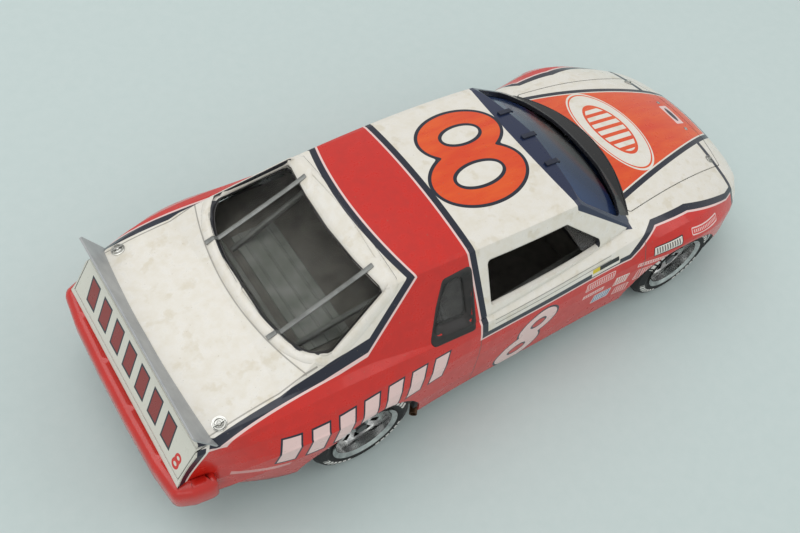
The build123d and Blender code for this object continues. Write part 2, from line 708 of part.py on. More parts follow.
def dashboard_piece():
    """Dashboard with a rounded brow, held on the firewall."""
    outline = [(CABIN_FRONT_X - SEAT_GAP - reach, z) for reach, z in DASH_SIDE]
    face = make_face(Polyline(*outline, close=True))
    face = fillet(face.vertices().sort_by(Axis.X)[:2], DASH_RADIUS)
    return extrude(Plane.XZ * face, DASH_HALF_WIDTH, both=True)


def steering_wheel_piece():
    """Spoked wheel on a column that runs to the dashboard."""
    plane = Plane(origin=WHEEL_CENTRE, z_dir=Vector(*WHEEL_CENTRE) - Vector(*COLUMN_END))
    section = Plane.XZ * Pos(WHEEL_RING_RADIUS, 0) * RegularPolygon(WHEEL_RING_TUBE, WHEEL_RING_SIDES)
    wheel = plane * revolve(section, Axis.Z)
    wheel += plane * Cylinder(WHEEL_HUB_RADIUS, WHEEL_HUB_DEPTH)
    length = WHEEL_RING_RADIUS - WHEEL_HUB_RADIUS + WHEEL_RING_TUBE
    middle = (WHEEL_RING_RADIUS + WHEEL_HUB_RADIUS) / 2
    for index in range(SPOKE_COUNT):
        turn = Rot(0, 0, 90 + 360 / SPOKE_COUNT * index)
        wheel += plane * turn * Pos(middle, 0, 0) * Box(length, SPOKE_WIDTH, SPOKE_WALL)
    wheel += bar(WHEEL_CENTRE, COLUMN_END, WHEEL_COLUMN_RADIUS)
    return wheel - dashboard


def gear_lever_piece():
    """Leaning lever with a knob, on top of the tunnel."""
    knob = (LEVER_X - LEVER_LEAN, 0, TUNNEL_TOP_Z + LEVER_HEIGHT)
    half = LEVER_FOOT_HEIGHT / 2
    lever = Pos(LEVER_X, 0, TUNNEL_TOP_Z + half) * Cylinder(LEVER_FOOT_RADIUS, LEVER_FOOT_HEIGHT)
    lever += bar((LEVER_X, 0, TUNNEL_TOP_Z + half), knob, LEVER_RADIUS)
    return lever + Pos(*knob) * Cylinder(KNOB_RADIUS, KNOB_HEIGHT)


floor_pan = floor_pan_piece()
cabin_tub = cabin_piece()
frame_rails = frame_rail_piece()
roll_cage = cage_piece()
driver_seat = seat_piece()
dashboard = dashboard_piece()
steering_wheel = steering_wheel_piece()
gear_lever = gear_lever_piece()

# Engine, drivetrain, axles and exhaust
ENGINE_FRONT_X = 76.0
ENGINE_REAR_X = 46.0
ENGINE_HALF_WIDTH = 12.0
ENGINE_TOP_Z = 31.5
ENGINE_CHAMFER = 4.0
GEARBOX_REAR_X = 22.0
GEARBOX_REAR_RADIUS = 2.2
GEARBOX_FRONT_RADIUS = 3.7
SHAFT_Z = 13.0
SHAFT_RADIUS = 1.2
AXLE_TUBE = 1.9
CASE_RADIUS = 4.4
CASE_WIDTH = 7.0
PINION_OFFSET = 4.6
PINION_LENGTH = 4.4
PINION_ROOT_RADIUS = 3.2
PINION_END_RADIUS = 1.6
BRAKE_RADIUS = 6.2
BRAKE_IN_Y = 27.6
BRAKE_OUT_Y = 30.0
BRAKE_LAP = 1.0
STUB_END_Y = 37.4
STUB_HEAD = 1.7
STUB_HEAD_WALL = 0.6
KNUCKLE_HALF_LENGTH = 2.0
KNUCKLE_IN_Y = BRAKE_IN_Y - 2.0
KNUCKLE_OUT_Y = BRAKE_IN_Y + 0.4
KNUCKLE_SPAN_Z = (9.4, 21.0)
CROSS_HALF_LENGTH = 4.0
CROSS_HALF_WIDTH = 14.0
CROSS_TOP_Z = PAN_TOP_Z + 2.8
TOWER_IN_Y = 13.5
TOWER_OUT_Y = 16.5
TOWER_TOP_Z = 22.0
ARM_WALL = 1.2
ARM_ROOT_Y = 16.0
ARM_ROOT_HALF_LENGTH = 5.0
ARM_TIP_HALF_LENGTH = 1.6
ARM_BAR = 1.0
ARM_WINDOW_HALF_LENGTH = 2.6
ARM_TIP = 3.4
ARM_HEIGHTS = (9.6, 19.0)
COIL_Y = 20.0
COIL_Z = 15.0
COIL_RADIUS = 1.9
COIL_HEIGHT = 9.0
TRAIL_SPAN_Y = (12.0, 16.0)
TRAIL_SPAN_Z = (9.2, 12.0)
TRAIL_LENGTH = 2.4
# Ends of a trailing arm. Columns: x, y, z.
TRAIL_BAR = [(CABIN_REAR_X - 1.6, 14.0, 10.8), (REAR_AXLE_X + 1.2, 14.0, 14.6)]
TRAIL_RADIUS = 0.9
PAD_RADIUS = 1.3
PAD_LOW_Z = 16.8
# Line of the left exhaust pipe from front to tip. Columns: x, y, drop.
PIPE_LINE = [(34.0, 27.0, 0.0), (-25.0, 27.6, 0.0), (-33.4, 38.2, 0.4)]
PIPE_BEND = 4.0
PIPE_BORE_DEPTH = 3.0
CELL_SPAN_X = (-86.0, -71.0)
CELL_TOP_Z = 20.0
RADIATOR_SPAN_X = (88.0, 90.0)
RADIATOR_HALF_WIDTH = 16.0
RADIATOR_TOP_Z = 24.0


def axle_disc(axle_x, radius, y0, y1):
    """Disc about an axle's line, from y0 to y1."""
    return Pos(axle_x, (y0 + y1) / 2, TYRE_RADIUS) * Rot(90, 0, 0) * Cylinder(radius, y1 - y0)


def stub_with_brake(axle_x):
    """Left brake, stub axle and its retaining head."""
    head_y = STUB_END_Y + SIDE_PLAY
    piece = axle_disc(axle_x, BRAKE_RADIUS, BRAKE_IN_Y, BRAKE_OUT_Y)
    piece += axle_disc(axle_x, STUB_RADIUS, BRAKE_OUT_Y - BRAKE_LAP, head_y + STUB_HEAD_WALL)
    return piece + axle_disc(axle_x, STUB_HEAD, head_y, head_y + STUB_HEAD_WALL)


def rear_axle_piece():
    """Axle tube, differential, brakes and stubs in one solid."""
    reach = BRAKE_IN_Y + BRAKE_LAP / 2
    piece = axle_disc(REAR_AXLE_X, AXLE_TUBE, -reach, reach)
    piece += axle_disc(REAR_AXLE_X, CASE_RADIUS, -CASE_WIDTH / 2, CASE_WIDTH / 2)
    pinion = Cone(PINION_ROOT_RADIUS, PINION_END_RADIUS, PINION_LENGTH)
    piece += Pos(REAR_AXLE_X + PINION_OFFSET, 0, TYRE_RADIUS) * Rot(0, 90, 0) * pinion
    return piece + both_sides(stub_with_brake(REAR_AXLE_X))


def front_knuckle_pieces():
    """Uprights that carry the front brakes and stub axles."""
    upright = solid_box(
        FRONT_AXLE_X - KNUCKLE_HALF_LENGTH, FRONT_AXLE_X + KNUCKLE_HALF_LENGTH,
        KNUCKLE_IN_Y, KNUCKLE_OUT_Y, *KNUCKLE_SPAN_Z,
    )
    return both_sides(upright + stub_with_brake(FRONT_AXLE_X))


def arm_plate(z):
    """One A-shaped arm from the tower to the knuckle, left side."""
    def outline(*corners):
        return make_face(Polyline(*[(FRONT_AXLE_X + x, y) for x, y in corners], close=True))
    plate = outline(
        (-ARM_ROOT_HALF_LENGTH, ARM_ROOT_Y), (ARM_ROOT_HALF_LENGTH, ARM_ROOT_Y),
        (ARM_TIP_HALF_LENGTH, KNUCKLE_IN_Y), (-ARM_TIP_HALF_LENGTH, KNUCKLE_IN_Y),
    )
    window = outline(
        (-ARM_WINDOW_HALF_LENGTH, ARM_ROOT_Y + ARM_BAR), (ARM_WINDOW_HALF_LENGTH, ARM_ROOT_Y + ARM_BAR),
        (0, KNUCKLE_IN_Y - ARM_TIP),
    )
    return extrude(Plane.XY.offset(z) * (plate - window), ARM_WALL)


def front_suspension_piece():
    """Crossmember, towers, arms and springs."""
    x0 = FRONT_AXLE_X - CROSS_HALF_LENGTH
    x1 = FRONT_AXLE_X + CROSS_HALF_LENGTH
    piece = solid_box(x0, x1, -CROSS_HALF_WIDTH, CROSS_HALF_WIDTH, PAN_TOP_Z, CROSS_TOP_Z)
    side = solid_box(x0, x1, TOWER_IN_Y, TOWER_OUT_Y, PAN_TOP_Z, TOWER_TOP_Z)
    for z in ARM_HEIGHTS:
        side += arm_plate(z)
    side += Pos(FRONT_AXLE_X, COIL_Y, COIL_Z) * Cylinder(COIL_RADIUS, COIL_HEIGHT)
    return piece + both_sides(side)


def rear_suspension_piece():
    """Trailing arms from the bulkhead to the axle, and the spring pads under the rails."""
    arm = solid_box(CABIN_REAR_X - TRAIL_LENGTH, CABIN_REAR_X, *TRAIL_SPAN_Y, *TRAIL_SPAN_Z)
    arm += bar(*TRAIL_BAR, TRAIL_RADIUS)
    height = RAIL_ARCH_Z - PAD_LOW_Z
    pad = Pos(REAR_AXLE_X, RAIL_HALF_GAP + RAIL_WIDTH / 2, PAD_LOW_Z + height / 2)
    pads = pad * Cylinder(PAD_RADIUS, height)
    return both_sides(arm + pads) - axle_disc(REAR_AXLE_X, AXLE_TUBE, -BRAKE_IN_Y, BRAKE_IN_Y)


def exhaust_pieces():
    """Left and right pipes under the pan, turned out ahead of the rear wheels."""
    top = PAN_Z - SEAT_GAP - PIPE_RADIUS
    points = [(x, y, top - drop) for x, y, drop in PIPE_LINE]
    path = FilletPolyline(*points, radius=PIPE_BEND)
    pipe = sweep(Plane(origin=points[0], z_dir=path % 0) * Circle(PIPE_RADIUS), path=path)
    end = path @ 1
    way = path % 1
    bore = bar(tuple(end - way * PIPE_BORE_DEPTH), tuple(end + way), PIPE_RADIUS - PIPE_WALL)
    return both_sides(pipe - bore)


def gearbox_piece():
    """Tapering gearbox behind the engine."""
    length = ENGINE_REAR_X - GEARBOX_REAR_X
    cone = Rot(0, 90, 0) * Cone(GEARBOX_REAR_RADIUS, GEARBOX_FRONT_RADIUS, length)
    return Pos(GEARBOX_REAR_X + length / 2, 0, SHAFT_Z) * cone


engine_block = solid_box(
    ENGINE_REAR_X, ENGINE_FRONT_X, -ENGINE_HALF_WIDTH, ENGINE_HALF_WIDTH, CROSS_TOP_Z, ENGINE_TOP_Z
)
engine_block = chamfer(engine_block.edges().filter_by(Axis.X).group_by(Axis.Z)[-1], ENGINE_CHAMFER)
gearbox = gearbox_piece()
rear_axle = rear_axle_piece()
front_knuckles = front_knuckle_pieces()
front_suspension = front_suspension_piece()
rear_suspension = rear_suspension_piece()
exhaust_pipes = exhaust_pieces()
shaft_start = (GEARBOX_REAR_X, 0, SHAFT_Z)
shaft_end = (REAR_AXLE_X + PINION_OFFSET + PINION_LENGTH / 2, 0, TYRE_RADIUS)
driveshaft = bar(shaft_start, shaft_end, SHAFT_RADIUS) - (rear_axle + gearbox)
cell_half = RAIL_HALF_GAP - SEAT_GAP
cell_low_z = RAIL_TAIL_Z + RAIL_HEIGHT
fuel_cell = solid_box(*CELL_SPAN_X, -cell_half, cell_half, cell_low_z, CELL_TOP_Z)
radiator = solid_box(
    *RADIATOR_SPAN_X, -RADIATOR_HALF_WIDTH, RADIATOR_HALF_WIDTH, PAN_TOP_Z, RADIATOR_TOP_Z
)

# Wheels: profiles of radius against distance from the car's centre plane
WHEEL_IN_Y = WHEEL_FACE_Y - TYRE_WIDTH
DISC_IN_Y = 34.6
DISC_OUT_Y = 36.0
BARREL_WALL = 0.7
HUB_RADIUS = 2.6
HUB_BACK = 1.0
DISH_RISE = 0.5
FLANGE_WALL = 0.7
SLOT_COUNT = 12
SLOT_RADIUS = 6.4
SLOT_LENGTH = 2.6
SLOT_IN_HALF_WIDTH = 0.6
SLOT_OUT_HALF_WIDTH = 0.9
# Where the tread's shoulder starts: below the tread and in from the sidewall.
SHOULDER_DROP = 1.0
SHOULDER_INSET = 0.8


def rim_piece():
    """Left rim about the Y axis through the origin: barrel, dish, hub and slots."""
    lip = RIM_RADIUS + RIM_FLANGE
    low = WHEEL_IN_Y
    high = WHEEL_FACE_Y
    bead = RIM_RADIUS - SEAT_GAP
    barrel = bead - BARREL_WALL
    bore = STUB_RADIUS + BORE_CLEARANCE
    profile = Polyline(
        (bore, DISC_IN_Y - HUB_BACK), (HUB_RADIUS, DISC_IN_Y - HUB_BACK), (HUB_RADIUS, DISC_IN_Y),
        (barrel, DISC_IN_Y + DISH_RISE), (barrel, low), (lip, low), (lip, low + FLANGE_WALL),
        (bead, low + FLANGE_WALL), (bead, high - FLANGE_WALL), (lip, high - FLANGE_WALL), (lip, high),
        (barrel, high - FLANGE_WALL), (barrel, DISC_OUT_Y + DISH_RISE), (HUB_RADIUS, DISC_OUT_Y),
        (HUB_RADIUS, STUB_END_Y), (bore, STUB_END_Y), close=True,
    )
    rim = revolve(make_face(profile), Axis.Y)
    inner = SLOT_RADIUS - SLOT_LENGTH / 2
    outer = SLOT_RADIUS + SLOT_LENGTH / 2
    window = Polyline(
        (inner, SLOT_IN_HALF_WIDTH), (outer, SLOT_OUT_HALF_WIDTH),
        (outer, -SLOT_OUT_HALF_WIDTH), (inner, -SLOT_IN_HALF_WIDTH), close=True,
    )
    slot = extrude(Plane.XZ.offset(-DISC_OUT_Y) * make_face(window), HUB_RADIUS, both=True)
    for index in range(SLOT_COUNT):
        rim -= Rot(0, 360 / SLOT_COUNT * index, 0) * slot
    return rim


def tyre_piece():
    """Left tyre about the Y axis through the origin."""
    middle = (WHEEL_IN_Y + WHEEL_FACE_Y) / 2
    half = TYRE_WIDTH / 2
    bead_half = half - FLANGE_WALL - SEAT_GAP
    lip = RIM_RADIUS + RIM_FLANGE + SEAT_GAP
    side = [
        (RIM_RADIUS, bead_half), (lip, bead_half), (lip + TYRE_BULGE, half),
        (TYRE_RADIUS - SHOULDER_DROP, half - SHOULDER_INSET), (TYRE_RADIUS, half - TYRE_SHOULDER),
    ]
    points = [(r, middle + u) for r, u in side] + [(r, middle - u) for r, u in reversed(side)]
    return revolve(make_face(Polyline(*points, close=True)), Axis.Y)


left_rim = rim_piece()
left_tyre = tyre_piece()
wheels = {}
for end, axle_x in (("front", FRONT_AXLE_X), ("rear", REAR_AXLE_X)):
    centre = Pos(axle_x, 0, TYRE_RADIUS)
    for name, piece in (("rim", left_rim), ("tyre", left_tyre)):
        wheels[f"{name}_{end}_left"] = centre * piece
        wheels[f"{name}_{end}_right"] = centre * mirror(piece, about=Plane.XZ)

nodes = {
    "body_shell": body_shell,
    "hood": hood,
    "tail_panel": tail_panel,
    "front_bumper": front_bumper,
    "front_air_dam": front_air_dam,
    "grille": grille,
    "headlamp_covers": headlamp_covers,
    "radiator": radiator,
    "rear_bumper": rear_bumper,
    "rear_spoiler": rear_spoiler,
    "windshield": windshield,
    "rear_window": rear_window,
    "quarter_windows": quarter_windows,
    "vent_panes": vent_panes,
    "rear_window_straps": rear_window_straps,
    "windshield_clips": windshield_clips,
    "hood_pins": hood_pins,
    "deck_pins": deck_pins,
    "floor_pan": floor_pan,
    "frame_rails": frame_rails,
    "cabin_tub": cabin_tub,
    "roll_cage": roll_cage,
    "driver_seat": driver_seat,
    "dashboard": dashboard,
    "steering_wheel": steering_wheel,
    "gear_lever": gear_lever,
    "engine_block": engine_block,
    "gearbox": gearbox,
    "driveshaft": driveshaft,
    "fuel_cell": fuel_cell,
    "exhaust_pipes": exhaust_pipes,
    "front_suspension": front_suspension,
    "front_knuckles": front_knuckles,
    "rear_suspension": rear_suspension,
    "rear_axle": rear_axle,
    **wheels,
}
for name, shape in nodes.items():
    write(name, shape)
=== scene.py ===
"""Looks of a scale model stock-car coupe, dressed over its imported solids.

Sizes are in millimetres, as in the part's source, and MM turns them into
Blender's metres. +X is the nose, +Y the car's left, +Z up.
"""

from math import cos, pi, sin, tan

import bmesh
import bpy
from mathutils import Matrix, Vector
from mathutils.bvhtree import BVHTree


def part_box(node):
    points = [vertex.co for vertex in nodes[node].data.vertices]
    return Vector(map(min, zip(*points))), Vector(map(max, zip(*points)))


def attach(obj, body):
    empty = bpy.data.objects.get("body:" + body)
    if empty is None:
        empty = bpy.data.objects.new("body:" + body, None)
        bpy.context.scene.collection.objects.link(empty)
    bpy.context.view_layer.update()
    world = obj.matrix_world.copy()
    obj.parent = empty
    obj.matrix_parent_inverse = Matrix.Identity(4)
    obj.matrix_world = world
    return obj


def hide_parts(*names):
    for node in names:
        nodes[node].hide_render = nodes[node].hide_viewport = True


MM = 0.001
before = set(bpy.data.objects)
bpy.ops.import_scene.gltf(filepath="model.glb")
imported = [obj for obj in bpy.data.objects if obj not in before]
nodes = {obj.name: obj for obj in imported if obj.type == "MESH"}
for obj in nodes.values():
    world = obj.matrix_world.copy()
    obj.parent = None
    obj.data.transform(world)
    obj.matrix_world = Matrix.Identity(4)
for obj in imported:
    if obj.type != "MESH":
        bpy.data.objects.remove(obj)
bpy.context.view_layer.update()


# Camera: its place, its view and the direction to its right
EYE = Vector((-122.1, -120.6, 238.1)) * MM
LOOK = Vector((0.395, 0.442, -0.806))
RIGHT = Vector((0.830, -0.547, 0.107))
LENS = 40.83
SENSOR_WIDTH = 36.0
NEAREST = 0.01

# Lamps, in metres and watts. Columns: place, size, power.
LAMPS = [
    ((-0.25, 0.35, 0.95), 0.9, 3.6),
    ((0.75, -0.55, 0.8), 0.7, 1.6),
    ((-0.7, -0.7, 0.7), 0.6, 1.0),
]
WORLD_STRENGTH = 0.62
FLOOR_SIZE = 6.0

# The sRGB curve: the end and slope of its straight part, its offset and its power
SRGB_KNEE = 0.04045
SRGB_SLOPE = 12.92
SRGB_OFFSET = 0.055
SRGB_POWER = 2.4

# Width in which a painted edge fades, and the sockets of a colour mix
SOFT_EDGE = 0.06
MIX_BELOW = 6
MIX_ABOVE = 7
MIX_RESULT = 2


def srgb(text):
    """Linear colour of a six-digit sRGB hex colour."""
    values = [int(text[i:i + 2], 16) / 255 for i in (0, 2, 4)]
    linear = [
        v / SRGB_SLOPE if v <= SRGB_KNEE else ((v + SRGB_OFFSET) / (1 + SRGB_OFFSET)) ** SRGB_POWER
        for v in values
    ]
    return (*linear, 1.0)


class Term:
    """One value in a material's node graph, with plain arithmetic."""

    def __init__(self, net, socket):
        self.net = net
        self.socket = socket

    def __add__(self, other):
        return self.net.math("ADD", self, other)

    __radd__ = __add__

    def __sub__(self, other):
        return self.net.math("SUBTRACT", self, other)

    def __rsub__(self, other):
        return self.net.math("SUBTRACT", other, self)

    def __mul__(self, other):
        return self.net.math("MULTIPLY", self, other)

    __rmul__ = __mul__

    def __truediv__(self, other):
        return self.net.math("DIVIDE", self, other)


class Net:
    """Node graph of one material, measured in the object's own millimetres."""

    def __init__(self, name, **settings):
        self.material = bpy.data.materials.new(name)
        self.material.use_nodes = True
        self.tree = self.material.node_tree
        self.shader = self.tree.nodes["Principled BSDF"]
        coords = self.tree.nodes.new("ShaderNodeTexCoord")
        scale = self.tree.nodes.new("ShaderNodeVectorMath")
        scale.operation = "SCALE"
        scale.inputs["Scale"].default_value = 1 / MM
        self.tree.links.new(coords.outputs["Object"], scale.inputs[0])
        self.place = scale.outputs[0]
        self.normal = coords.outputs["Normal"]
        split = self.tree.nodes.new("ShaderNodeSeparateXYZ")
        self.tree.links.new(self.place, split.inputs[0])
        self.x, self.y, self.z = (Term(self, socket) for socket in split.outputs)
        for key, value in settings.items():
            self.shader.inputs[key.replace("_", " ")].default_value = value

    def feed(self, socket, value):
        """Links a term or sets a plain value."""
        if isinstance(value, Term):
            self.tree.links.new(value.socket, socket)
        else:
            socket.default_value = value

    def math(self, operation, *values, clamp=False):
        node = self.tree.nodes.new("ShaderNodeMath")
        node.operation = operation
        node.use_clamp = clamp
        for socket, value in zip(node.inputs, values):
            self.feed(socket, value)
        return Term(self, node.outputs[0])

    def low(self, first, *others):
        for other in others:
            first = self.math("MINIMUM", first, other)
        return first

    def high(self, first, *others):
        for other in others:
            first = self.math("MAXIMUM", first, other)
        return first

    def size(self, value):
        return self.math("ABSOLUTE", value)

    def length(self, a, b):
        return self.math("SQRT", a * a + b * b)

    def between(self, value, start, end):
        """Signed distance into the stripe of values from start to end."""
        return self.low(value - start, end - value)

    def bars(self, along, pitch, half_width):
        """Signed distance into bars that come once in every pitch."""
        return half_width - self.size(self.math("PINGPONG", along, pitch) - pitch / 2)

    def inside(self, distance, soft=SOFT_EDGE):
        """1 where a signed distance is above zero, 0 where it is below."""
        return self.math("MULTIPLY_ADD", distance, 1 / soft, 0.5, clamp=True)

    def mix(self, factor, below, above):
        """Colour that goes from one to the other with the factor."""
        node = self.tree.nodes.new("ShaderNodeMix")
        node.data_type = "RGBA"
        self.feed(node.inputs[0], factor)
        self.feed(node.inputs[MIX_BELOW], below)
        self.feed(node.inputs[MIX_ABOVE], above)
        return Term(self, node.outputs[MIX_RESULT])

    def layer(self, colour, distance, above):
        """Colour with another over it where a signed distance is above zero."""
        return self.mix(self.inside(distance), colour, above)

    def noise(self, scale, detail=2.0, roughness=0.5, stretch=None):
        """Noise of 0 to 1 whose grains are about 1 / scale mm across."""
        node = self.tree.nodes.new("ShaderNodeTexNoise")
        node.inputs["Scale"].default_value = scale
        node.inputs["Detail"].default_value = detail
        node.inputs["Roughness"].default_value = roughness
        place = self.place
        if stretch:
            mapping = self.tree.nodes.new("ShaderNodeMapping")
            mapping.inputs["Scale"].default_value = stretch
            self.tree.links.new(place, mapping.inputs["Vector"])
            place = mapping.outputs[0]
        self.tree.links.new(place, node.inputs["Vector"])
        return Term(self, node.outputs["Fac"])

    def spread(self, value, low, high, to_low=0.0, to_high=1.0):
        """Maps one range on another, held at its ends."""
        node = self.tree.nodes.new("ShaderNodeMapRange")
        self.feed(node.inputs["Value"], value)
        node.inputs["From Min"].default_value = low
        node.inputs["From Max"].default_value = high
        node.inputs["To Min"].default_value = to_low
        node.inputs["To Max"].default_value = to_high
        return Term(self, node.outputs[0])

    def facing(self, centre):
        """Above zero where the surface faces away from a place inside the piece."""
        offset = self.tree.nodes.new("ShaderNodeVectorMath")
        offset.operation = "SUBTRACT"
        offset.inputs[1].default_value = centre
        self.tree.links.new(self.place, offset.inputs[0])
        dot = self.tree.nodes.new("ShaderNodeVectorMath")
        dot.operation = "DOT_PRODUCT"
        self.tree.links.new(offset.outputs[0], dot.inputs[0])
        self.tree.links.new(self.normal, dot.inputs[1])
        return Term(self, dot.outputs["Value"])

    def set(self, name, value):
        self.feed(self.shader.inputs[name], value)

    def bump(self, height, depth, strength=1.0, soften=0.0):
        """Relief whose height of 0 to 1 stands for depth millimetres, on softened edges."""
        node = self.tree.nodes.new("ShaderNodeBump")
        node.inputs["Strength"].default_value = strength
        node.inputs["Distance"].default_value = depth * MM
        self.feed(node.inputs["Height"], height)
        if soften:
            edge = self.tree.nodes.new("ShaderNodeBevel")
            edge.inputs["Radius"].default_value = soften * MM
            self.tree.links.new(edge.outputs[0], node.inputs["Normal"])
        self.tree.links.new(node.outputs[0], self.shader.inputs["Normal"])


# Paint colours
CREAM = srgb("E8E5DC")
AGED_CREAM = srgb("E2DDCF")
STAIN = srgb("B9A878")
RED = srgb("D0261B")
AGED_RED = srgb("C4241B")
NAVY = srgb("151D2E")
PINK = srgb("EBCDC8")
ORANGE = srgb("DA3F12")
LIGHT_ORANGE = srgb("E65C1A")
BRICK = srgb("8C2A26")
YELLOW = srgb("D8C21E")
BLACK = srgb("121314")
SKY = srgb("4A78A8")
GLASS_NAVY = srgb("1B2745")
PANEL_CREAM = srgb("D9D8CC")
SHADED_BARE_PLASTIC = srgb("34353A")
GROOVE_GREY = srgb("5A554E")
DUST = srgb("8A7F66")

# Stains, grooves and dust: the noise above which they start, how much of them shows, and the
# width in which a stain's edge fades
STAIN_LEVEL = 0.62
STAIN_STRENGTH = 0.22
STAIN_EDGE = 0.1
GROOVE_STRENGTH = 0.6
DUST_LEVEL = 0.745
DUST_STRENGTH = 0.3

# Half widths past which marks on the sides show: labels, tag and door lines, and then the
# numeral, slanted bars and ridges, which keep further out
SIDE_Y = 30
OUTER_SIDE_Y = 33

# Height along a side gains a share of each mm that the body lies inside a half width
SIDE_LEAN = 0.6
SIDE_LEAN_Y = 36

# Distances into the white at which the pale pinstripe and the navy band end
PIN = 0.6
BAND = 2.5

# Front edges of the white. Columns: x and height of a point on the edge, then the distance
# into the white that each mm of x and of height adds.
LEVEL_EDGE = (-13, 29.5, 0.012, 1.0)
KINK_EDGE = (42.5, 29.3, -0.579, 0.816)
FENDER_EDGE = (52.5, 36.4, 0.074, 1.0)
DROP_EDGE = (66, 35.4, 0.306, 0.952)

# Red band over the roof: x of its front edge, and of its rear edge, which bows back to the middle
ROOF_LINE_X = -15.0
REAR_LINE_X = -30.4
REAR_LINE_BOW = 3.4
ROOF_EDGE_Y = 24.4

# White edge on the rear pillar: a point, the direction into the white and how far it is moved
PILLAR_POINT = (-31.9, 24.4, 55.4)
PILLAR_WAY = (-0.622, -0.403, 0.670)
PILLAR_SHIFT = 1.7

# White of the deck: its half width at one x, what it gains for each mm back, its lowest z
DECK_HALF_WIDTH = 32.7
DECK_WIDE_X = -54
DECK_WIDENING = 0.035
DECK_LOW_Z = 36.2

# Nose: the navy edge's x, its lowest z, and where the white ahead of it starts
NOSE_EDGE = (92.6, 94.4)
NOSE_EDGE_Z = 12
NOSE_WHITE_X = 94.3

# Hood panel: its half width at one x, what it loses for each mm forward, its middle, ends and
# lowest z, and how far its pale line and navy band reach outside it
HOOD_HALF_WIDTH = 21.8
HOOD_WIDE_X = 50
HOOD_TAPER = 0.23
HOOD_MIDDLE_Y = 0.8
HOOD_ENDS = (40, 102.2)
HOOD_Z = 25
HOOD_LINE = 0.5
HOOD_BAND = 2.2

# Oval on the hood: centre and half widths, then its depth in the middle and its lowest z; the
# ends of its thin line and of its ring, as distances from the rim, and the bars inside the ring
OVAL = (63.4, 0.8, 10.2, 18.6)
OVAL_DEPTH = 12
OVAL_Z = 30
OVAL_LINE = (0.5, 0.9)
OVAL_RING = (4.4, 5.2)
OVAL_BAR_Y = -0.2
OVAL_BAR_PITCH = 3.2
OVAL_BAR_HALF = 0.7

# Badge near the nose and the plate under it: centre and half widths, and the badge's depth
PLATE = (93.8, 0.4, 1.9, 4.6)
BADGE = (93.8, 0.4, 1.0, 3.4)
BADGE_DEPTH = 2

# Dark border at the windshield: x of its rear edge and how that bows, its half width at one x
# and what it gains for each mm forward, the x where it ends, and its lowest z
BORDER_X = 20.2
BORDER_BOW = 0.0041
BORDER_HALF_WIDTH = 26.2
BORDER_WIDE_X = 22.5
BORDER_WIDENING = 0.27
BORDER_END_X = 44.6
BORDER_Z = 36

# Black cowl: x of its front edge in the middle, how far that has moved back at a half width,
# its rear end, its half width and its lowest z
COWL_X = 53.5
COWL_BOW = 7.2
COWL_BOW_Y = 27.6
COWL_REAR_X = 41.5
COWL_HALF_WIDTH = 28.2
COWL_Z = 30

# Numerals. Columns: centre u, v and half widths u, v.
ROOF_LOBES = [(3.0, -5.6, 15.6, 10.8), (6.8, 9.2, 14.0, 10.0)]
ROOF_HOLES = [(3.0, -5.8, 7.4, 3.6), (6.8, 8.8, 6.0, 3.2)]
DOOR_LOBES = [(3.0, 14.0, 7.8, 6.6), (5.2, 23.4, 7.0, 5.8)]
DOOR_HOLES = [(3.0, 13.8, 2.5, 1.8), (5.2, 23.6, 2.1, 1.5)]
TAIL_LOBES = [(-28.4, 29.2, 1.5, 1.2), (-28.4, 31.0, 1.3, 1.1)]
TAIL_HOLES = [(-28.4, 29.2, 0.7, 0.45), (-28.4, 31.0, 0.6, 0.4)]

# How softly a numeral's rings join, and the least slope that its distance is divided by
RING_BLEND = 1.5
LEAST_SLOPE = 0.001

# The roof's lowest z, the navy edge of its numeral, and the edge and lean of the door's
ROOF_Z = 50
ROOF_FIGURE_EDGE = 1.0
DOOR_FIGURE_EDGE = 0.6
DOOR_LEAN = 0.35
DOOR_LEAN_Z = 18

# Blank labels on the sides. Columns: x, z, half width, half height, rise per mm of x, face, edge.
LABELS = [
    (30.5, 26.9, 5.6, 1.5, 0.0, RED, PINK),
    (28.6, 22.8, 4.4, 1.1, 0.0, PINK, RED),
    (33.0, 18.6, 3.4, 2.0, 0.0, SKY, CREAM),
    (39.6, 22.6, 2.8, 2.2, 0.0, CREAM, RED),
    (41.0, 17.4, 2.6, 1.8, 0.0, RED, PINK),
    (47.9, 21.8, 2.7, 2.4, 0.0, RED, PINK),
    (50.4, 26.4, 5.8, 1.0, 0.0, PINK, RED),
    (55.4, 30.2, 5.2, 1.4, 0.1, CREAM, BLACK),
    (71.6, 30.2, 7.2, 0.9, -0.2, RED, PINK),
]

# A label's corner radius, lean and edge, and its row of ticks: margin, pitch, half width, strength
LABEL_CORNER = 0.4
LABEL_LEAN = 0.15
LABEL_EDGE = 0.3
TICK_MARGIN = 0.55
TICK_PITCH = 0.9
TICK_HALF = 0.26
TICK_STRENGTH = 0.8

# Pale tag under the door window: x, height, half width and half height, then its rim, the
# height over which it is dark, and the x that parts yellow from black
TAG = (31.8, 31.6, 5.6, 1.6)
TAG_RIM = 0.35
TAG_DARK_HEIGHT = 31.2
TAG_PART_X = 29.4

# Slanted bars on the quarters: lean, ends, half height, middle z and its fall for each mm
# forward, then the bars' pitch, half width and edge
QUARTER_LEAN = 0.3
QUARTER_LEAN_Z = 30
QUARTER_RUN = (-79, -25)
QUARTER_HALF_HEIGHT = 4.6
QUARTER_Z = 30.4
QUARTER_FALL = 0.03
QUARTER_FALL_X = -50
QUARTER_PITCH = 7.7
QUARTER_HALF_BAR = 2.75
BAR_EDGE = 0.5

# Faint line behind the rear wheel: ends, half height, z and strength
FAINT_RUN = (-87, -73)
FAINT_HALF_HEIGHT = 0.8
FAINT_Z = 24.6
FAINT_STRENGTH = 0.5

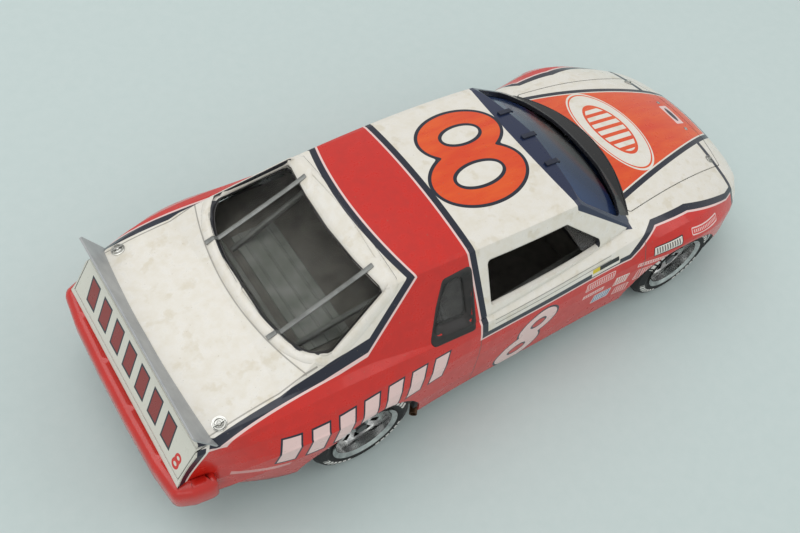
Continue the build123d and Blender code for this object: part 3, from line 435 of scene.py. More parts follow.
# Rear panel: its lower edge, and how far it moves forward for each mm of height
TAIL_X = -101.4
TAIL_Z = 26.0
TAIL_RAKE = 0.5735
TAIL_COSINE = 0.867
DECK_EDGE_Z = 37.4

# Paint on the rear panel: how far it starts below the panel's edge, its top and its depth
PANEL_START_Z = TAIL_Z - 1
PANEL_TOP_Z = 38.6
PANEL_DEPTH = 0.35

# Navy corner of the rear panel: half width and x where it starts, the depths of its pale line
# and of its navy, and the half height and half width of the pale line along the deck's edge
CORNER_Y = 30.5
CORNER_X = -88
CORNER_LINE_DEPTH = 2.7
CORNER_NAVY_DEPTH = 2.1
DECK_LINE_HALF = 0.3
DECK_LINE_Y = 31

# Slanted bars on the rear panel: lean, half height and middle z, ends, pitch and half width
TAIL_LEAN = 0.25
TAIL_LEAN_Z = 32
TAIL_HALF_HEIGHT = 3.3
TAIL_BAR_Z = 32.6
TAIL_RUN = (-25.4, 27.6)
TAIL_PITCH = 7.58
TAIL_HALF_BAR = 2.5

# A place inside the shell, which its inner faces look towards
SHELL_MIDDLE = (0, 0, 22)


def oval_distance(net, u, v, row, depth):
    """Distance into an ellipse, scaled to be depth in its middle."""
    cu, cv, ru, rv = row
    return (1 - net.length((u - cu) / ru, (v - cv) / rv)) * depth


def box_distance(net, u, v, row):
    """Signed distance into a rectangle with rounded corners."""
    cu, cv, ru, rv = row
    a = net.size(u - cu) - (ru - LABEL_CORNER)
    b = net.size(v - cv) - (rv - LABEL_CORNER)
    outside = net.length(net.high(a, 0.0), net.high(b, 0.0))
    return LABEL_CORNER - outside - net.low(net.high(a, b), 0.0)


def numeral(net, u, v, lobes, holes):
    """Signed distance into a figure made of two rings, in the u, v plane."""
    def ellipse(row):
        cu, cv, ru, rv = row
        a = (u - cu) / ru
        b = (v - cv) / rv
        reach = net.length(a, b)
        slope = net.length(a / ru, b / rv)
        return (1 - reach) * reach / net.high(slope, LEAST_SLOPE)
    outer = net.math("SMOOTH_MAX", ellipse(lobes[0]), ellipse(lobes[1]), RING_BLEND)
    gap = net.high(*[ellipse(row) for row in holes])
    return net.low(outer, gap * -1)


def height_along(net, side):
    """Height on the body's side as its paint lines see it."""
    return net.z - SIDE_LEAN * (side - SIDE_LEAN_Y)


def past_edge(x, height, edge):
    """Distance into the white past a straight edge on the side."""
    edge_x, edge_height, per_x, per_height = edge
    return (x - edge_x) * per_x + (height - edge_height) * per_height


def white_distance(net, side, height):
    """Signed distance into the white, from the outer edge of its pinstripe."""
    x, z = net.x, net.z
    level, kink, fender, drop = [
        past_edge(x, height, edge) for edge in (LEVEL_EDGE, KINK_EDGE, FENDER_EDGE, DROP_EDGE)
    ]
    front = net.low(x - ROOF_LINE_X, level, net.high(kink, fender, drop))
    bow = side / ROOF_EDGE_Y
    roof_rear = (REAR_LINE_X - REAR_LINE_BOW) + REAR_LINE_BOW * bow * bow - x
    pillar = PILLAR_SHIFT
    for value, start, way in zip((x, side, z), PILLAR_POINT, PILLAR_WAY):
        pillar = pillar + (value - start) * way
    deck = net.low(DECK_HALF_WIDTH + DECK_WIDENING * (DECK_WIDE_X - x) - side, z - DECK_LOW_Z)
    return net.high(front, net.low(roof_rear, pillar, deck))


def body_coats(net, side, height, wear, cream):
    """Red and white with their pinstripe and navy band, and the nose."""
    white = white_distance(net, side, height)
    red = net.mix(net.spread(wear, low=0.3, high=0.7), RED, AGED_RED)
    colour = net.layer(red, white, PINK)
    colour = net.layer(colour, white - PIN, NAVY)
    colour = net.layer(colour, white - BAND, cream)
    nose_edge = net.low(net.between(net.x, *NOSE_EDGE), net.z - NOSE_EDGE_Z)
    colour = net.layer(colour, nose_edge, NAVY)
    return net.layer(colour, net.x - NOSE_WHITE_X, cream)


def hood_art(net, colour, cream, flame):
    """Orange panel on the hood, with a barred oval and a plain badge."""
    x, y, z = net.x, net.y, net.z
    half = HOOD_HALF_WIDTH - HOOD_TAPER * (x - HOOD_WIDE_X)
    panel = net.low(half - net.size(y - HOOD_MIDDLE_Y), net.between(x, *HOOD_ENDS), z - HOOD_Z)
    colour = net.layer(colour, panel + HOOD_BAND, NAVY)
    colour = net.layer(colour, panel + HOOD_LINE, cream)
    colour = net.layer(colour, panel, flame)
    oval = net.low(oval_distance(net, x, y, OVAL, OVAL_DEPTH), z - OVAL_Z)
    colour = net.layer(colour, oval, cream)
    colour = net.layer(colour, net.between(oval, *OVAL_LINE), flame)
    colour = net.layer(colour, net.between(oval, *OVAL_RING), flame)
    bars = net.bars(y - OVAL_BAR_Y, OVAL_BAR_PITCH, OVAL_BAR_HALF)
    colour = net.layer(colour, net.low(oval - OVAL_RING[1], bars), flame)
    colour = net.layer(colour, net.low(box_distance(net, x, y, PLATE), z - HOOD_Z), PINK)
    badge = net.low(oval_distance(net, x, y, BADGE, BADGE_DEPTH), z - HOOD_Z)
    return net.layer(colour, badge, NAVY)


def windshield_edges(net, colour, side):
    """Dark border on the body at the windshield, and the cowl between it and the hood."""
    x, z = net.x, net.z
    border = net.low(
        x - BORDER_X - BORDER_BOW * side * side,
        BORDER_HALF_WIDTH + BORDER_WIDENING * (x - BORDER_WIDE_X) - side,
        BORDER_END_X - x,
        z - BORDER_Z,
    )
    bow = side / COWL_BOW_Y
    cowl = net.low(
        COWL_X - COWL_BOW * bow * bow - x,
        z - COWL_Z,
        x - COWL_REAR_X,
        COWL_HALF_WIDTH - side,
    )
    colour = net.layer(colour, border, GLASS_NAVY)
    return net.layer(colour, cowl, BLACK)


def figures(net, colour, side, flame):
    """Numeral on the roof, and one on each door that leans forward as it rises."""
    x, y, z = net.x, net.y, net.z
    roof = net.low(numeral(net, x, y, ROOF_LOBES, ROOF_HOLES), z - ROOF_Z)
    colour = net.layer(colour, roof, NAVY)
    colour = net.layer(colour, roof - ROOF_FIGURE_EDGE, flame)
    lean = x - DOOR_LEAN * (z - DOOR_LEAN_Z)
    door = net.low(numeral(net, lean, z, DOOR_LOBES, DOOR_HOLES), side - OUTER_SIDE_Y)
    colour = net.layer(colour, door, NAVY)
    return net.layer(colour, door - DOOR_FIGURE_EDGE, PINK)


def side_labels(net, colour, side, height, cream):
    """Labels with rows of ticks that say nothing, and the tag under the door window."""
    x, z = net.x, net.z
    for cx, cz, rx, rz, rise, face, edge in LABELS:
        box = box_distance(net, x - LABEL_LEAN * (z - cz), z - rise * (x - cx), (cx, cz, rx, rz))
        label = net.low(box, side - SIDE_Y)
        colour = net.layer(colour, label, edge)
        colour = net.layer(colour, label - LABEL_EDGE, face)
        ticks = net.low(label - TICK_MARGIN, net.bars(x - cx, TICK_PITCH, TICK_HALF))
        colour = net.mix(net.inside(ticks) * TICK_STRENGTH, colour, edge)
    tag = net.low(box_distance(net, x, height, TAG), side - SIDE_Y)
    colour = net.layer(colour, tag, cream)
    upper = net.low(tag - TAG_RIM, height - TAG_DARK_HEIGHT)
    colour = net.layer(colour, net.low(upper, x - TAG_PART_X), BLACK)
    return net.layer(colour, net.low(upper, TAG_PART_X - x), YELLOW)


def quarter_bars(net, colour, side):
    """Slanted bars on the quarters, and the faint line behind the rear wheel."""
    x, z = net.x, net.z
    run = x - QUARTER_LEAN * (z - QUARTER_LEAN_Z)
    middle = z - QUARTER_Z + QUARTER_FALL * (x - QUARTER_FALL_X)
    bar = net.low(
        net.between(run, *QUARTER_RUN),
        QUARTER_HALF_HEIGHT - net.size(middle),
        side - OUTER_SIDE_Y,
        net.bars(run - QUARTER_RUN[0], QUARTER_PITCH, QUARTER_HALF_BAR),
    )
    colour = net.layer(colour, bar, NAVY)
    colour = net.layer(colour, bar - BAR_EDGE, PINK)
    line = net.low(
        net.between(run, *FAINT_RUN),
        FAINT_HALF_HEIGHT - net.size(z - FAINT_Z),
        side - SIDE_Y,
    )
    return net.mix(net.inside(line) * FAINT_STRENGTH, colour, PINK)


def rear_panel(net, colour, side):
    """Pale rear panel with slanted bars and a numeral, edged in navy round the corner."""
    x, y, z = net.x, net.y, net.z
    depth = (x - TAIL_X - TAIL_RAKE * (z - TAIL_Z)) * TAIL_COSINE
    corner = net.low(net.between(z, PANEL_START_Z, DECK_EDGE_Z), side - CORNER_Y, CORNER_X - x)
    colour = net.layer(colour, net.low(corner, CORNER_LINE_DEPTH - depth), CREAM)
    colour = net.layer(colour, net.low(corner, CORNER_NAVY_DEPTH - depth), NAVY)
    deck_line = DECK_LINE_HALF - net.size(z - DECK_EDGE_Z)
    deck_line = net.low(deck_line, side - DECK_LINE_Y, CORNER_LINE_DEPTH - depth)
    colour = net.layer(colour, deck_line, CREAM)
    panel = net.inside(net.low(PANEL_DEPTH - depth, net.between(z, PANEL_START_Z, PANEL_TOP_Z)))
    colour = net.mix(panel, colour, PANEL_CREAM)
    run = y - TAIL_LEAN * (z - TAIL_LEAN_Z)
    bar = net.low(
        TAIL_HALF_HEIGHT - net.size(z - TAIL_BAR_Z),
        net.between(run, *TAIL_RUN),
        net.bars(run - TAIL_RUN[0], TAIL_PITCH, TAIL_HALF_BAR),
    )
    colour = net.mix(net.inside(bar) * panel, colour, NAVY)
    colour = net.mix(net.inside(bar - BAR_EDGE) * panel, colour, BRICK)
    figure = numeral(net, y, z, TAIL_LOBES, TAIL_HOLES)
    return net.mix(net.inside(figure) * panel, colour, RED)


def livery(net):
    """Colour of the body paint at every place, with its sides alike, and its wear."""
    side = net.size(net.y)
    height = height_along(net, side)
    wear = net.noise(scale=0.35, detail=3, roughness=0.6)
    cream = net.mix(net.spread(wear, low=0.35, high=0.7), CREAM, AGED_CREAM)
    stain = net.noise(scale=0.22, detail=3, roughness=0.55) - STAIN_LEVEL
    cream = net.mix(net.inside(stain, STAIN_EDGE) * STAIN_STRENGTH, cream, STAIN)
    streaks = net.noise(scale=0.14, detail=4, roughness=0.65, stretch=(0.35, 1.4, 0.2))
    flame = net.mix(net.spread(streaks, low=0.35, high=0.68), ORANGE, LIGHT_ORANGE)
    colour = body_coats(net, side, height, wear, cream)
    colour = hood_art(net, colour, cream, flame)
    colour = windshield_edges(net, colour, side)
    colour = figures(net, colour, side, flame)
    colour = side_labels(net, colour, side, height, cream)
    colour = quarter_bars(net, colour, side)
    colour = rear_panel(net, colour, side)
    # the unpainted inside of the shell, painted dark grey as the shade inside it
    colour = net.layer(colour, net.facing(SHELL_MIDDLE) * -1, SHADED_BARE_PLASTIC)
    return colour, wear


# Grooves: half width, the width in which they fade, and the lowest z of those on the deck
GROOVE_HALF = 0.16
GROOVE_FADE = 0.12
GROOVE_DECK_Z = 36

# Deck lid: half width at one x and what it loses for each mm forward, its ends, and its front
# line's x in the middle with what that has moved forward at a half width
LID_HALF_WIDTH = 30.2
LID_WIDE_X = -78
LID_TAPER = 0.02
LID_ENDS = (-93, -61.5)
LID_FRONT_X = -69.8
LID_BOW = 5.0
LID_BOW_Y = 30

# Doors: their lowest z, then x and top of the rear line, and x at one z, lean and top of the
# front line
DOOR_FOOT_Z = 10
DOOR_REAR_X = -14.6
DOOR_REAR_TOP = 30.8
DOOR_FRONT_X = 46.6
DOOR_FRONT_Z = 20
DOOR_FRONT_LEAN = 0.05
DOOR_FRONT_TOP = 33.5

# Two ridges below the door window: heights above the level edge of the white, and their ends
RIDGE_RISES = (4.1, 5.7)
RIDGE_ENDS = (-10, 34)


def shut_lines(net):
    """Grooves between the panels: 1 in a groove, 0 elsewhere."""
    x, z = net.x, net.z
    side = net.size(net.y)

    def line(distance, *limits):
        return net.low(GROOVE_HALF - net.size(distance), *limits)
    lid_half = LID_HALF_WIDTH - LID_TAPER * (x - LID_WIDE_X)
    lid_side = line(side - lid_half, z - GROOVE_DECK_Z, net.between(x, *LID_ENDS))
    bow = side / LID_BOW_Y
    lid_front = line(
        x - LID_FRONT_X - LID_BOW * bow * bow, z - GROOVE_DECK_Z, LID_HALF_WIDTH - side
    )
    door_rear = line(x - DOOR_REAR_X, net.between(z, DOOR_FOOT_Z, DOOR_REAR_TOP), side - SIDE_Y)
    door_front = line(
        x - DOOR_FRONT_X - DOOR_FRONT_LEAN * (z - DOOR_FRONT_Z),
        net.between(z, DOOR_FOOT_Z, DOOR_FRONT_TOP),
        side - SIDE_Y,
    )
    level = past_edge(x, height_along(net, side), LEVEL_EDGE)
    ridges = net.high(*[line(level - rise) for rise in RIDGE_RISES])
    ridges = net.low(ridges, net.between(x, *RIDGE_ENDS), side - OUTER_SIDE_Y)
    return net.inside(net.high(lid_side, lid_front, door_rear, door_front, ridges), GROOVE_FADE)


def paint(name):
    """Glossy enamel with the livery, panel grooves and a little dust."""
    net = Net(name, Coat_Weight=0.35, Coat_Roughness=0.06, Specular_IOR_Level=0.4)
    colour, wear = livery(net)
    groove = shut_lines(net)
    colour = net.mix(groove * GROOVE_STRENGTH, colour, GROOVE_GREY)
    specks = net.noise(scale=1.6, detail=2, roughness=0.4)
    dust = net.math("GREATER_THAN", specks, DUST_LEVEL)
    colour = net.mix(dust * DUST_STRENGTH, colour, DUST)
    net.set("Base Color", colour)
    net.set("Roughness", net.spread(wear, low=0.3, high=0.7, to_low=0.24, to_high=0.38))
    peel = net.noise(scale=0.7, detail=2, roughness=0.5) * 0.12
    net.bump(peel - groove, depth=0.12, strength=0.7, soften=0.5)
    return net.material


# Clouds of a plain finish are wider than its grain: their scale as a share of the grain's.
# Its roughness goes down and up from the given one, and not below the least.
CLOUD_SHARE = 0.18
SMOOTHER = 0.08
ROUGHER = 0.1
LEAST_ROUGHNESS = 0.02


def plain(name, colour, tone, rough, grain, depth=0.03, metal=0.0, coat=0.0):
    """Moulded or cast finish with its own grain and a second tone."""
    net = Net(name, Metallic=metal, Coat_Weight=coat, Coat_Roughness=0.15)
    cloud = net.noise(scale=grain * CLOUD_SHARE, detail=3, roughness=0.6)
    net.set("Base Color", net.mix(net.spread(cloud, low=0.3, high=0.7), srgb(colour), srgb(tone)))
    smooth = max(rough - SMOOTHER, LEAST_ROUGHNESS)
    net.set("Roughness", net.spread(cloud, low=0.25, high=0.75, to_low=smooth, to_high=rough + ROUGHER))
    net.bump(net.noise(scale=grain, detail=3, roughness=0.6), depth, strength=0.6)
    return net.material


def glass(name, tint, clear):
    """Clear moulded pane with a faint ripple and a little haze."""
    net = Net(name, Transmission_Weight=clear, IOR=1.12, Specular_IOR_Level=0.5)
    smear = net.noise(scale=0.12, detail=3, roughness=0.6)
    net.set("Base Color", net.mix(net.spread(smear, low=0.3, high=0.7), srgb(tint), srgb("FFFFFF")))
    net.set("Roughness", net.spread(smear, low=0.3, high=0.8, to_low=0.0, to_high=0.03))
    net.bump(net.noise(scale=0.25, detail=2, roughness=0.5), depth=0.02, strength=0.3)
    return net.material


# Bands of the windshield, which follow its bow. Columns: height from and to, colour above. Its black foot
# is a printed band and painted shade. The dark red band and the lighter blue at the top are painted
# reflections, and the navy between is its tint.
WINDSHIELD_FOOT = "0D0D10"
TINT_AND_REFLECTION_BANDS = [(46.5, 48.0, "3A1E28"), (48.2, 50.0, "1D2A4A"), (52.0, 59.0, "2C4068")]
TINT_BOW = 0.02
TINT_SMEAR = 1.5


def tint_and_reflection_glass(name):
    """Dark blue windshield: black at its foot as print and painted shade, a painted red reflection above
    that, and a painted lighter blue reflection at its top.
    """
    net = Net(name, Transmission_Weight=0.08, IOR=1.3, Specular_IOR_Level=0.35, Coat_Weight=0.08)
    smear = net.noise(scale=0.2, detail=3, roughness=0.6, stretch=(1, 0.4, 1))
    height = net.z + TINT_BOW * net.y * net.y + smear * TINT_SMEAR
    colour = srgb(WINDSHIELD_FOOT)
    # the bands lay painted reflections and painted shade over the glass's navy tint
    for start, end, above in TINT_AND_REFLECTION_BANDS:
        colour = net.mix(net.spread(height, start, end), colour, srgb(above))
    net.set("Base Color", colour)
    net.set("Roughness", net.spread(smear, low=0.3, high=0.8, to_low=0.12, to_high=0.24))
    return net.material


# White blocks on the tyres' outer walls: half width where they start and radii of their ring,
# half length of each arc in radians and how that counts, then the wave that parts the blocks:
# how often it turns in each radian, and its level where a block starts
WALL_Y = 39.2
MARK_RADII = (11.9, 13.5)
ARC_HALF = 0.46
ARC_WEIGHT = 10
WAVE_TURNS = 13
WAVE_LEVEL = 0.32
MARK_EDGE = 0.1

# Relief of the tyres: moulded rings in each mm, and the heights of the rings and of the grain
RINGS_PER_MM = 1.6
RING_HEIGHT = 0.4
GRAIN_HEIGHT = 0.3


def rubber(name, centre_x, centre_z):
    """Tyre rubber with moulded rings and rows of plain white blocks."""
    net = Net(name, Specular_IOR_Level=0.3)
    u = net.x - centre_x
    v = net.z - centre_z
    radius = net.length(u, v)
    angle = net.math("ARCTAN2", v, u)
    arc = ARC_HALF - net.size(net.math("PINGPONG", angle, pi / 2) - pi / 4)
    block = net.math("PINGPONG", angle * WAVE_TURNS, 1.0) - WAVE_LEVEL
    mark = net.low(arc * ARC_WEIGHT, block, net.between(radius, *MARK_RADII), net.size(net.y) - WALL_Y)
    grime = net.noise(scale=0.5, detail=3, roughness=0.6)
    black = net.mix(grime, srgb("1B1C1D"), srgb("2C2D2E"))
    net.set("Base Color", net.mix(net.inside(mark, MARK_EDGE), black, srgb("D9D9D4")))
    net.set("Roughness", net.spread(grime, low=0.3, high=0.7, to_low=0.55, to_high=0.75))
    rings = net.math("PINGPONG", radius * RINGS_PER_MM, 0.5) * RING_HEIGHT
    grain = net.noise(scale=2.5, detail=3, roughness=0.6) * GRAIN_HEIGHT
    net.bump(rings + grain, depth=0.12, strength=0.6)
    return net.material


def dress(material, *names):
    """Gives CAD nodes their material."""
    for name in names:
        for slot in nodes[name].material_slots:
            slot.material = material


# Plain finishes. Columns: name, colour, second tone, roughness, grain, metal, coat, nodes.
FINISHES = [
    ("dam_black", "26272A", "303135", 0.5, 1.5, 0.0, 0.0, ["front_air_dam", "grille"]),
    ("lamp_cover", "C9C6BC", "B4B1A8", 0.25, 1.6, 0.0, 0.6, ["headlamp_covers"]),
    ("clip_dark", "232A3C", "1A2030", 0.4, 2.0, 0.0, 0.0, ["windshield_clips"]),
    # the cabin tub's grey is painted lighter than the tub itself, as painted light against the shade in
    # the closed cabin
    ("cabin_grey_with_painted_light", "77736B", "625F58", 0.6, 1.3, 0.0, 0.0, ["cabin_tub"]),
    ("cage_grey", "7A7B76", "6A6B66", 0.45, 1.8, 0.0, 0.0, ["roll_cage"]),
    ("seat_black", "2B2B2C", "383838", 0.65, 2.0, 0.0, 0.0, ["driver_seat"]),
    ("dash_black", "242526", "303133", 0.55, 1.6, 0.0, 0.0, ["dashboard", "steering_wheel"]),
    ("lever_metal", "BFBFBA", "8E8E89", 0.3, 2.0, 0.9, 0.0, ["gear_lever"]),
    ("pan_black", "2A2B2C", "363738", 0.55, 1.1, 0.0, 0.0, ["floor_pan", "frame_rails", "fuel_cell"]),
    ("engine_blue", "2A3F63", "233452", 0.45, 1.4, 0.0, 0.0, ["engine_block"]),
    ("gearbox_metal", "8B8D8C", "757776", 0.4, 1.6, 0.7, 0.0, ["gearbox", "radiator"]),
    ("shaft_metal", "5B5C5C", "474848", 0.4, 1.8, 0.6, 0.0, ["driveshaft", "rear_axle"]),
    ("pipe_brown", "6E5038", "4C3524", 0.45, 1.8, 0.7, 0.0, ["exhaust_pipes"]),
    ("arm_black", "2F3031", "3B3C3D", 0.5, 1.6, 0.0, 0.0, ["front_suspension", "rear_suspension"]),
    ("knuckle_metal", "77787A", "5D5E60", 0.4, 1.8, 0.6, 0.0, ["front_knuckles"]),
]
RIMS = ["rim_front_left", "rim_front_right", "rim_rear_left", "rim_rear_right"]

# Axles, as in the part's source
REAR_AXLE_X = -51.5
WHEELBASE = 116.4
AXLE_Z = 15.2

paint_material = paint("enamel_livery")
dress(paint_material, "body_shell", "hood", "tail_panel", "front_bumper")
for name, colour, tone, rough, grain, metal, coat, dressed in FINISHES:
    dress(plain(name, colour, tone, rough, grain, metal=metal, coat=coat), *dressed)
dress(plain("rim_chrome", "DCDDDB", "A4A5A6", rough=0.15, grain=2.2, depth=0.04, metal=1.0), *RIMS)
for end, centre_x in (("front", REAR_AXLE_X + WHEELBASE), ("rear", REAR_AXLE_X)):
    dress(rubber(f"tyre_rubber_{end}", centre_x, AXLE_Z), f"tyre_{end}_left", f"tyre_{end}_right")
dress(tint_and_reflection_glass("windshield_tint_and_reflection"), "windshield")
dress(glass("rear_clear", "DADDD9", clear=1.0), "rear_window")
dress(glass("side_clear", "C5C9C4", clear=0.95), "quarter_windows")
dress(glass("vent_clear", "B9A998", clear=0.95), "vent_panes")


# Trim built over the solids: the largest share of a side that a rounded corner takes, the
# longest step along an outline, and the number of steps round a band
MOST_CUT = 0.45
LONGEST_STEP = 1.5
BAND_STEPS = 160

# Places well outside the body, which the rays to its skin start from
ABOVE_Z = 90
BESIDE_Y = 80
DOWN = Vector((0, 0, -1))


def skin_of(*names):
    """Search tree of the faces of some nodes."""
    mesh = bmesh.new()
    for name in names:
        mesh.from_mesh(nodes[name].data)
    tree = BVHTree.FromBMesh(mesh)
    mesh.free()
    return tree


def to_skin(tree, point, ray):
    """Where a ray from a place well outside meets the body, in millimetres, and its normal."""
    hit, normal = tree.ray_cast(Vector(point) * MM, ray)[:2]
    return hit / MM, normal


def rounded(points, radius, steps=5):
    """Closed outline with its corners rounded, walked at even small steps."""
    loop = []
    count = len(points)
    for i, corner in enumerate(points):
        corner = Vector(corner)
        before = Vector(points[i - 1]) - corner
        after = Vector(points[(i + 1) % count]) - corner
        cut = radius / tan(before.angle(after) / 2)
        cut = min(cut, before.length * MOST_CUT, after.length * MOST_CUT)
        a = corner + before.normalized() * cut
        b = corner + after.normalized() * cut
        for step in range(steps + 1):
            t = step / steps
            loop.append(a * (1 - t) ** 2 + corner * 2 * t * (1 - t) + b * t ** 2)
    dense = []
    for i, point in enumerate(loop):
        other = loop[(i + 1) % len(loop)]
        parts = max(1, int((other - point).length / LONGEST_STEP))
        dense += [point.lerp(other, part / parts) for part in range(parts)]
    return dense


def outward(loop, i):
    """Outward direction of a closed outline at one of its points."""
    way = (loop[(i + 1) % len(loop)] - loop[i - 1]).normalized()
    normal = Vector((way.y, -way.x))
    area = sum(a.x * b.y - b.x * a.y for a, b in zip(loop, loop[1:] + loop[:1]))
    return normal if area > 0 else -normal


def reach_at(loop, centre, angle):
    """Where a closed outline is met from its centre at an angle."""
    way = Vector((cos(angle), sin(angle)))
    for start, end in zip(loop, loop[1:] + loop[:1]):
        a = start - centre
        b = end - centre
        left = way.cross(a)
        right = way.cross(b)
        if left * right <= 0 and left != right and way.dot(a) + way.dot(b) > 0:
            return centre + a.lerp(b, left / (left - right))
    raise ValueError("the outline doesn't go round its centre")


def band(name, inner, outer, centre, lift, ray, tree, section):
    """Strip between two outlines on the skin; section columns: share of the width, rise."""
    mesh = bmesh.new()
    centre = Vector(centre)
    rings = []
    for step in range(BAND_STEPS):
        angle = 2 * pi * step / BAND_STEPS
        near = reach_at(inner, centre, angle)
        far = reach_at(outer, centre, angle)
        low = to_skin(tree, lift(near), ray)[0]
        high = to_skin(tree, lift(far), ray)[0]
        ring = []
        for share, rise in section:
            point = low.lerp(high, share)
            skin = to_skin(tree, lift(near.lerp(far, share)), ray)[0]
            sunk = max(0.0, (point - skin).dot(ray))
            ring.append(mesh.verts.new((point - ray * (sunk + rise)) * MM))
        rings.append(ring)
    for ring, after in zip(rings, rings[1:] + rings[:1]):
        for j in range(len(section) - 1):
            mesh.faces.new((ring[j], ring[j + 1], after[j + 1], after[j]))
    bmesh.ops.recalc_face_normals(mesh, faces=mesh.faces)
    return add(name, mesh)


def prism(mesh, rings):
    """Closed tube through rings of equally many points, in millimetres."""
    loops = [[mesh.verts.new(Vector(point) * MM) for point in ring] for ring in rings]
    count = len(loops[0])
    for low, high in zip(loops, loops[1:]):
        for i in range(count):
            mesh.faces.new((low[i], low[(i + 1) % count], high[(i + 1) % count], high[i]))
    mesh.faces.new(loops[0])
    mesh.faces.new(loops[-1])


def block(mesh, low, high, cut):
    """Box with its top edges cut away, in millimetres."""
    (x0, y0, z0), (x1, y1, z1) = low, high
    rings = []
    for z, inset in ((z0, 0), (z1 - cut, 0), (z1, cut)):
        rings.append([
            (x0 + inset, y0 + inset, z), (x1 - inset, y0 + inset, z),
            (x1 - inset, y1 - inset, z), (x0 + inset, y1 - inset, z),
        ])
    prism(mesh, rings)


def add(name, mesh, smooth=True):
    """Turns a bmesh into a shown object."""
    data = bpy.data.meshes.new(name)
    for face in mesh.faces:
        face.smooth = smooth
    mesh.to_mesh(data)
    mesh.free()
    piece = bpy.data.objects.new(name, data)
    bpy.context.collection.objects.link(piece)
    return piece


def finish_piece(piece, material, body="root"):
    """Material, slot and body of a piece."""
    piece.data.materials.append(material)
    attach(piece, body)


def both_sides(half):
    """Closed outline from the half on the left side."""
    return half + [(x, -y) for x, y in reversed(half[1:-1])]


def from_above(point):
    """Place over a point of a plan."""
    return (point.x, point.y, ABOVE_Z)


body_skin = skin_of("body_shell", "hood", "tail_panel")
rear_skin = skin_of("body_shell", "rear_window")
quarter_skin = skin_of("body_shell", "quarter_windows")

# Rear window surround: half outlines of its inner and outer edge, from the front middle, how
# round they are, and the gasket's width. Section columns: share of the width, rise.
SURROUND_INNER = [
    (-41.6, 0), (-41.0, 12), (-39.8, 21.4), (-39.3, 23.8), (-41.6, 24.4), (-50, 26.6),
    (-57.6, 28.5), (-61.4, 25.8), (-64.0, 20.0), (-65.6, 11.0), (-66.1, 0),
]
SURROUND_OUTER = [
    (-35.3, 0), (-35.3, 14), (-35.3, 24.6), (-37.6, 25.9), (-50, 29.4), (-58.6, 31.2),
    (-63.4, 28.6), (-67.2, 21.5), (-69.0, 11.0), (-69.6, 0),
]
SURROUND_CENTRE = (-52.0, 0.0)
SURROUND_RADIUS = 30
SURROUND_SECTION = [
    (0, -0.9), (0, 0.05), (0.1, 0.34), (0.3, 0.42), (0.7, 0.36), (0.93, 0.2), (1, 0.03), (1, -0.3),
]
GASKET_WIDTH = 0.55
GASKET_SECTION = [(0, 0.0), (0.2, 0.12), (0.8, 0.14), (1, 0.1)]

inner = rounded(both_sides(SURROUND_INNER), SURROUND_RADIUS)
outer = rounded(both_sides(SURROUND_OUTER), SURROUND_RADIUS)
middle = Vector(SURROUND_CENTRE)
gasket = [point + (middle - point).normalized() * GASKET_WIDTH for point in inner]
seal = plain("seal_black", "1C1B1A", "2A2725", rough=0.4, grain=2.0)
surround = band(
    "rear_window_surround", inner, outer, SURROUND_CENTRE, from_above, DOWN, rear_skin, SURROUND_SECTION
)
finish_piece(surround, paint_material)
strip = band(
    "rear_window_gasket", gasket, inner, SURROUND_CENTRE, from_above, DOWN, rear_skin, GASKET_SECTION
)
finish_piece(strip, seal)

# Quarter window frames: x, z outlines of the clear pane and of the frame's outer edge, with
# the radii of their corners. Section columns: share of the width, rise.
QUARTER_PANE = [(-17.3, 49.8), (-18.3, 39.7), (-28.3, 40.6), (-24.6, 46.5), (-22.0, 49.4)]
QUARTER_FRAME = [(-14.4, 52.2), (-16.4, 36.2), (-31.4, 37.6), (-27.2, 46.2), (-23.6, 51.8)]
QUARTER_CENTRE = (-21.0, 45.0)
PANE_RADIUS = 1.4
FRAME_RADIUS = 1.6
FRAME_SECTION = [
    (0, -1.0), (0, 0.12), (0.08, 0.34), (0.2, 0.42), (0.35, 0.46), (0.5, 0.46), (0.65, 0.42), (0.8, 0.34),
    (0.92, 0.2), (1, 0.03), (1, -0.3),
]
for side, name in ((1, "left"), (-1, "right")):
    strip = band(
        f"quarter_seal_{name}", rounded(QUARTER_PANE, PANE_RADIUS), rounded(QUARTER_FRAME, FRAME_RADIUS),
        QUARTER_CENTRE, lambda point, side=side: (point.x, BESIDE_Y * side, point.y),
        Vector((0, -side, 0)), quarter_skin, FRAME_SECTION,
    )
    finish_piece(strip, seal)

# Shelf panel under the rear window, its ribs and the step behind it, on the tub's top. Columns:
# x from and to, half width, bottom and top above the tub, and the cut of the top edges.
SHELF_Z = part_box("cabin_tub")[1].z / MM
RIB_PLACES = (-56.5, -52.5, -48.5)
RIB_HALF_WIDTH = 0.35
SHELF_PANEL = (-59.0, -46.0, 21.0, -0.2, 0.5, 0.2)
SHELF_RIBS = [(x - RIB_HALF_WIDTH, x + RIB_HALF_WIDTH, 21.0, 0.3, 0.9, 0.2) for x in RIB_PLACES]
SHELF_STEP = (-62.6, -61.4, 22.0, -0.2, 0.9, 0.3)
mesh = bmesh.new()
for x0, x1, half, bottom, top, cut in [SHELF_PANEL, *SHELF_RIBS, SHELF_STEP]:
    block(mesh, (x0, -half, SHELF_Z + bottom), (x1, half, SHELF_Z + top), cut)
shelf = add("rear_shelf_panel", mesh, smooth=False)
finish_piece(shelf, plain("shelf_grey", "8F918B", "7C7E78", rough=0.55, grain=1.4))

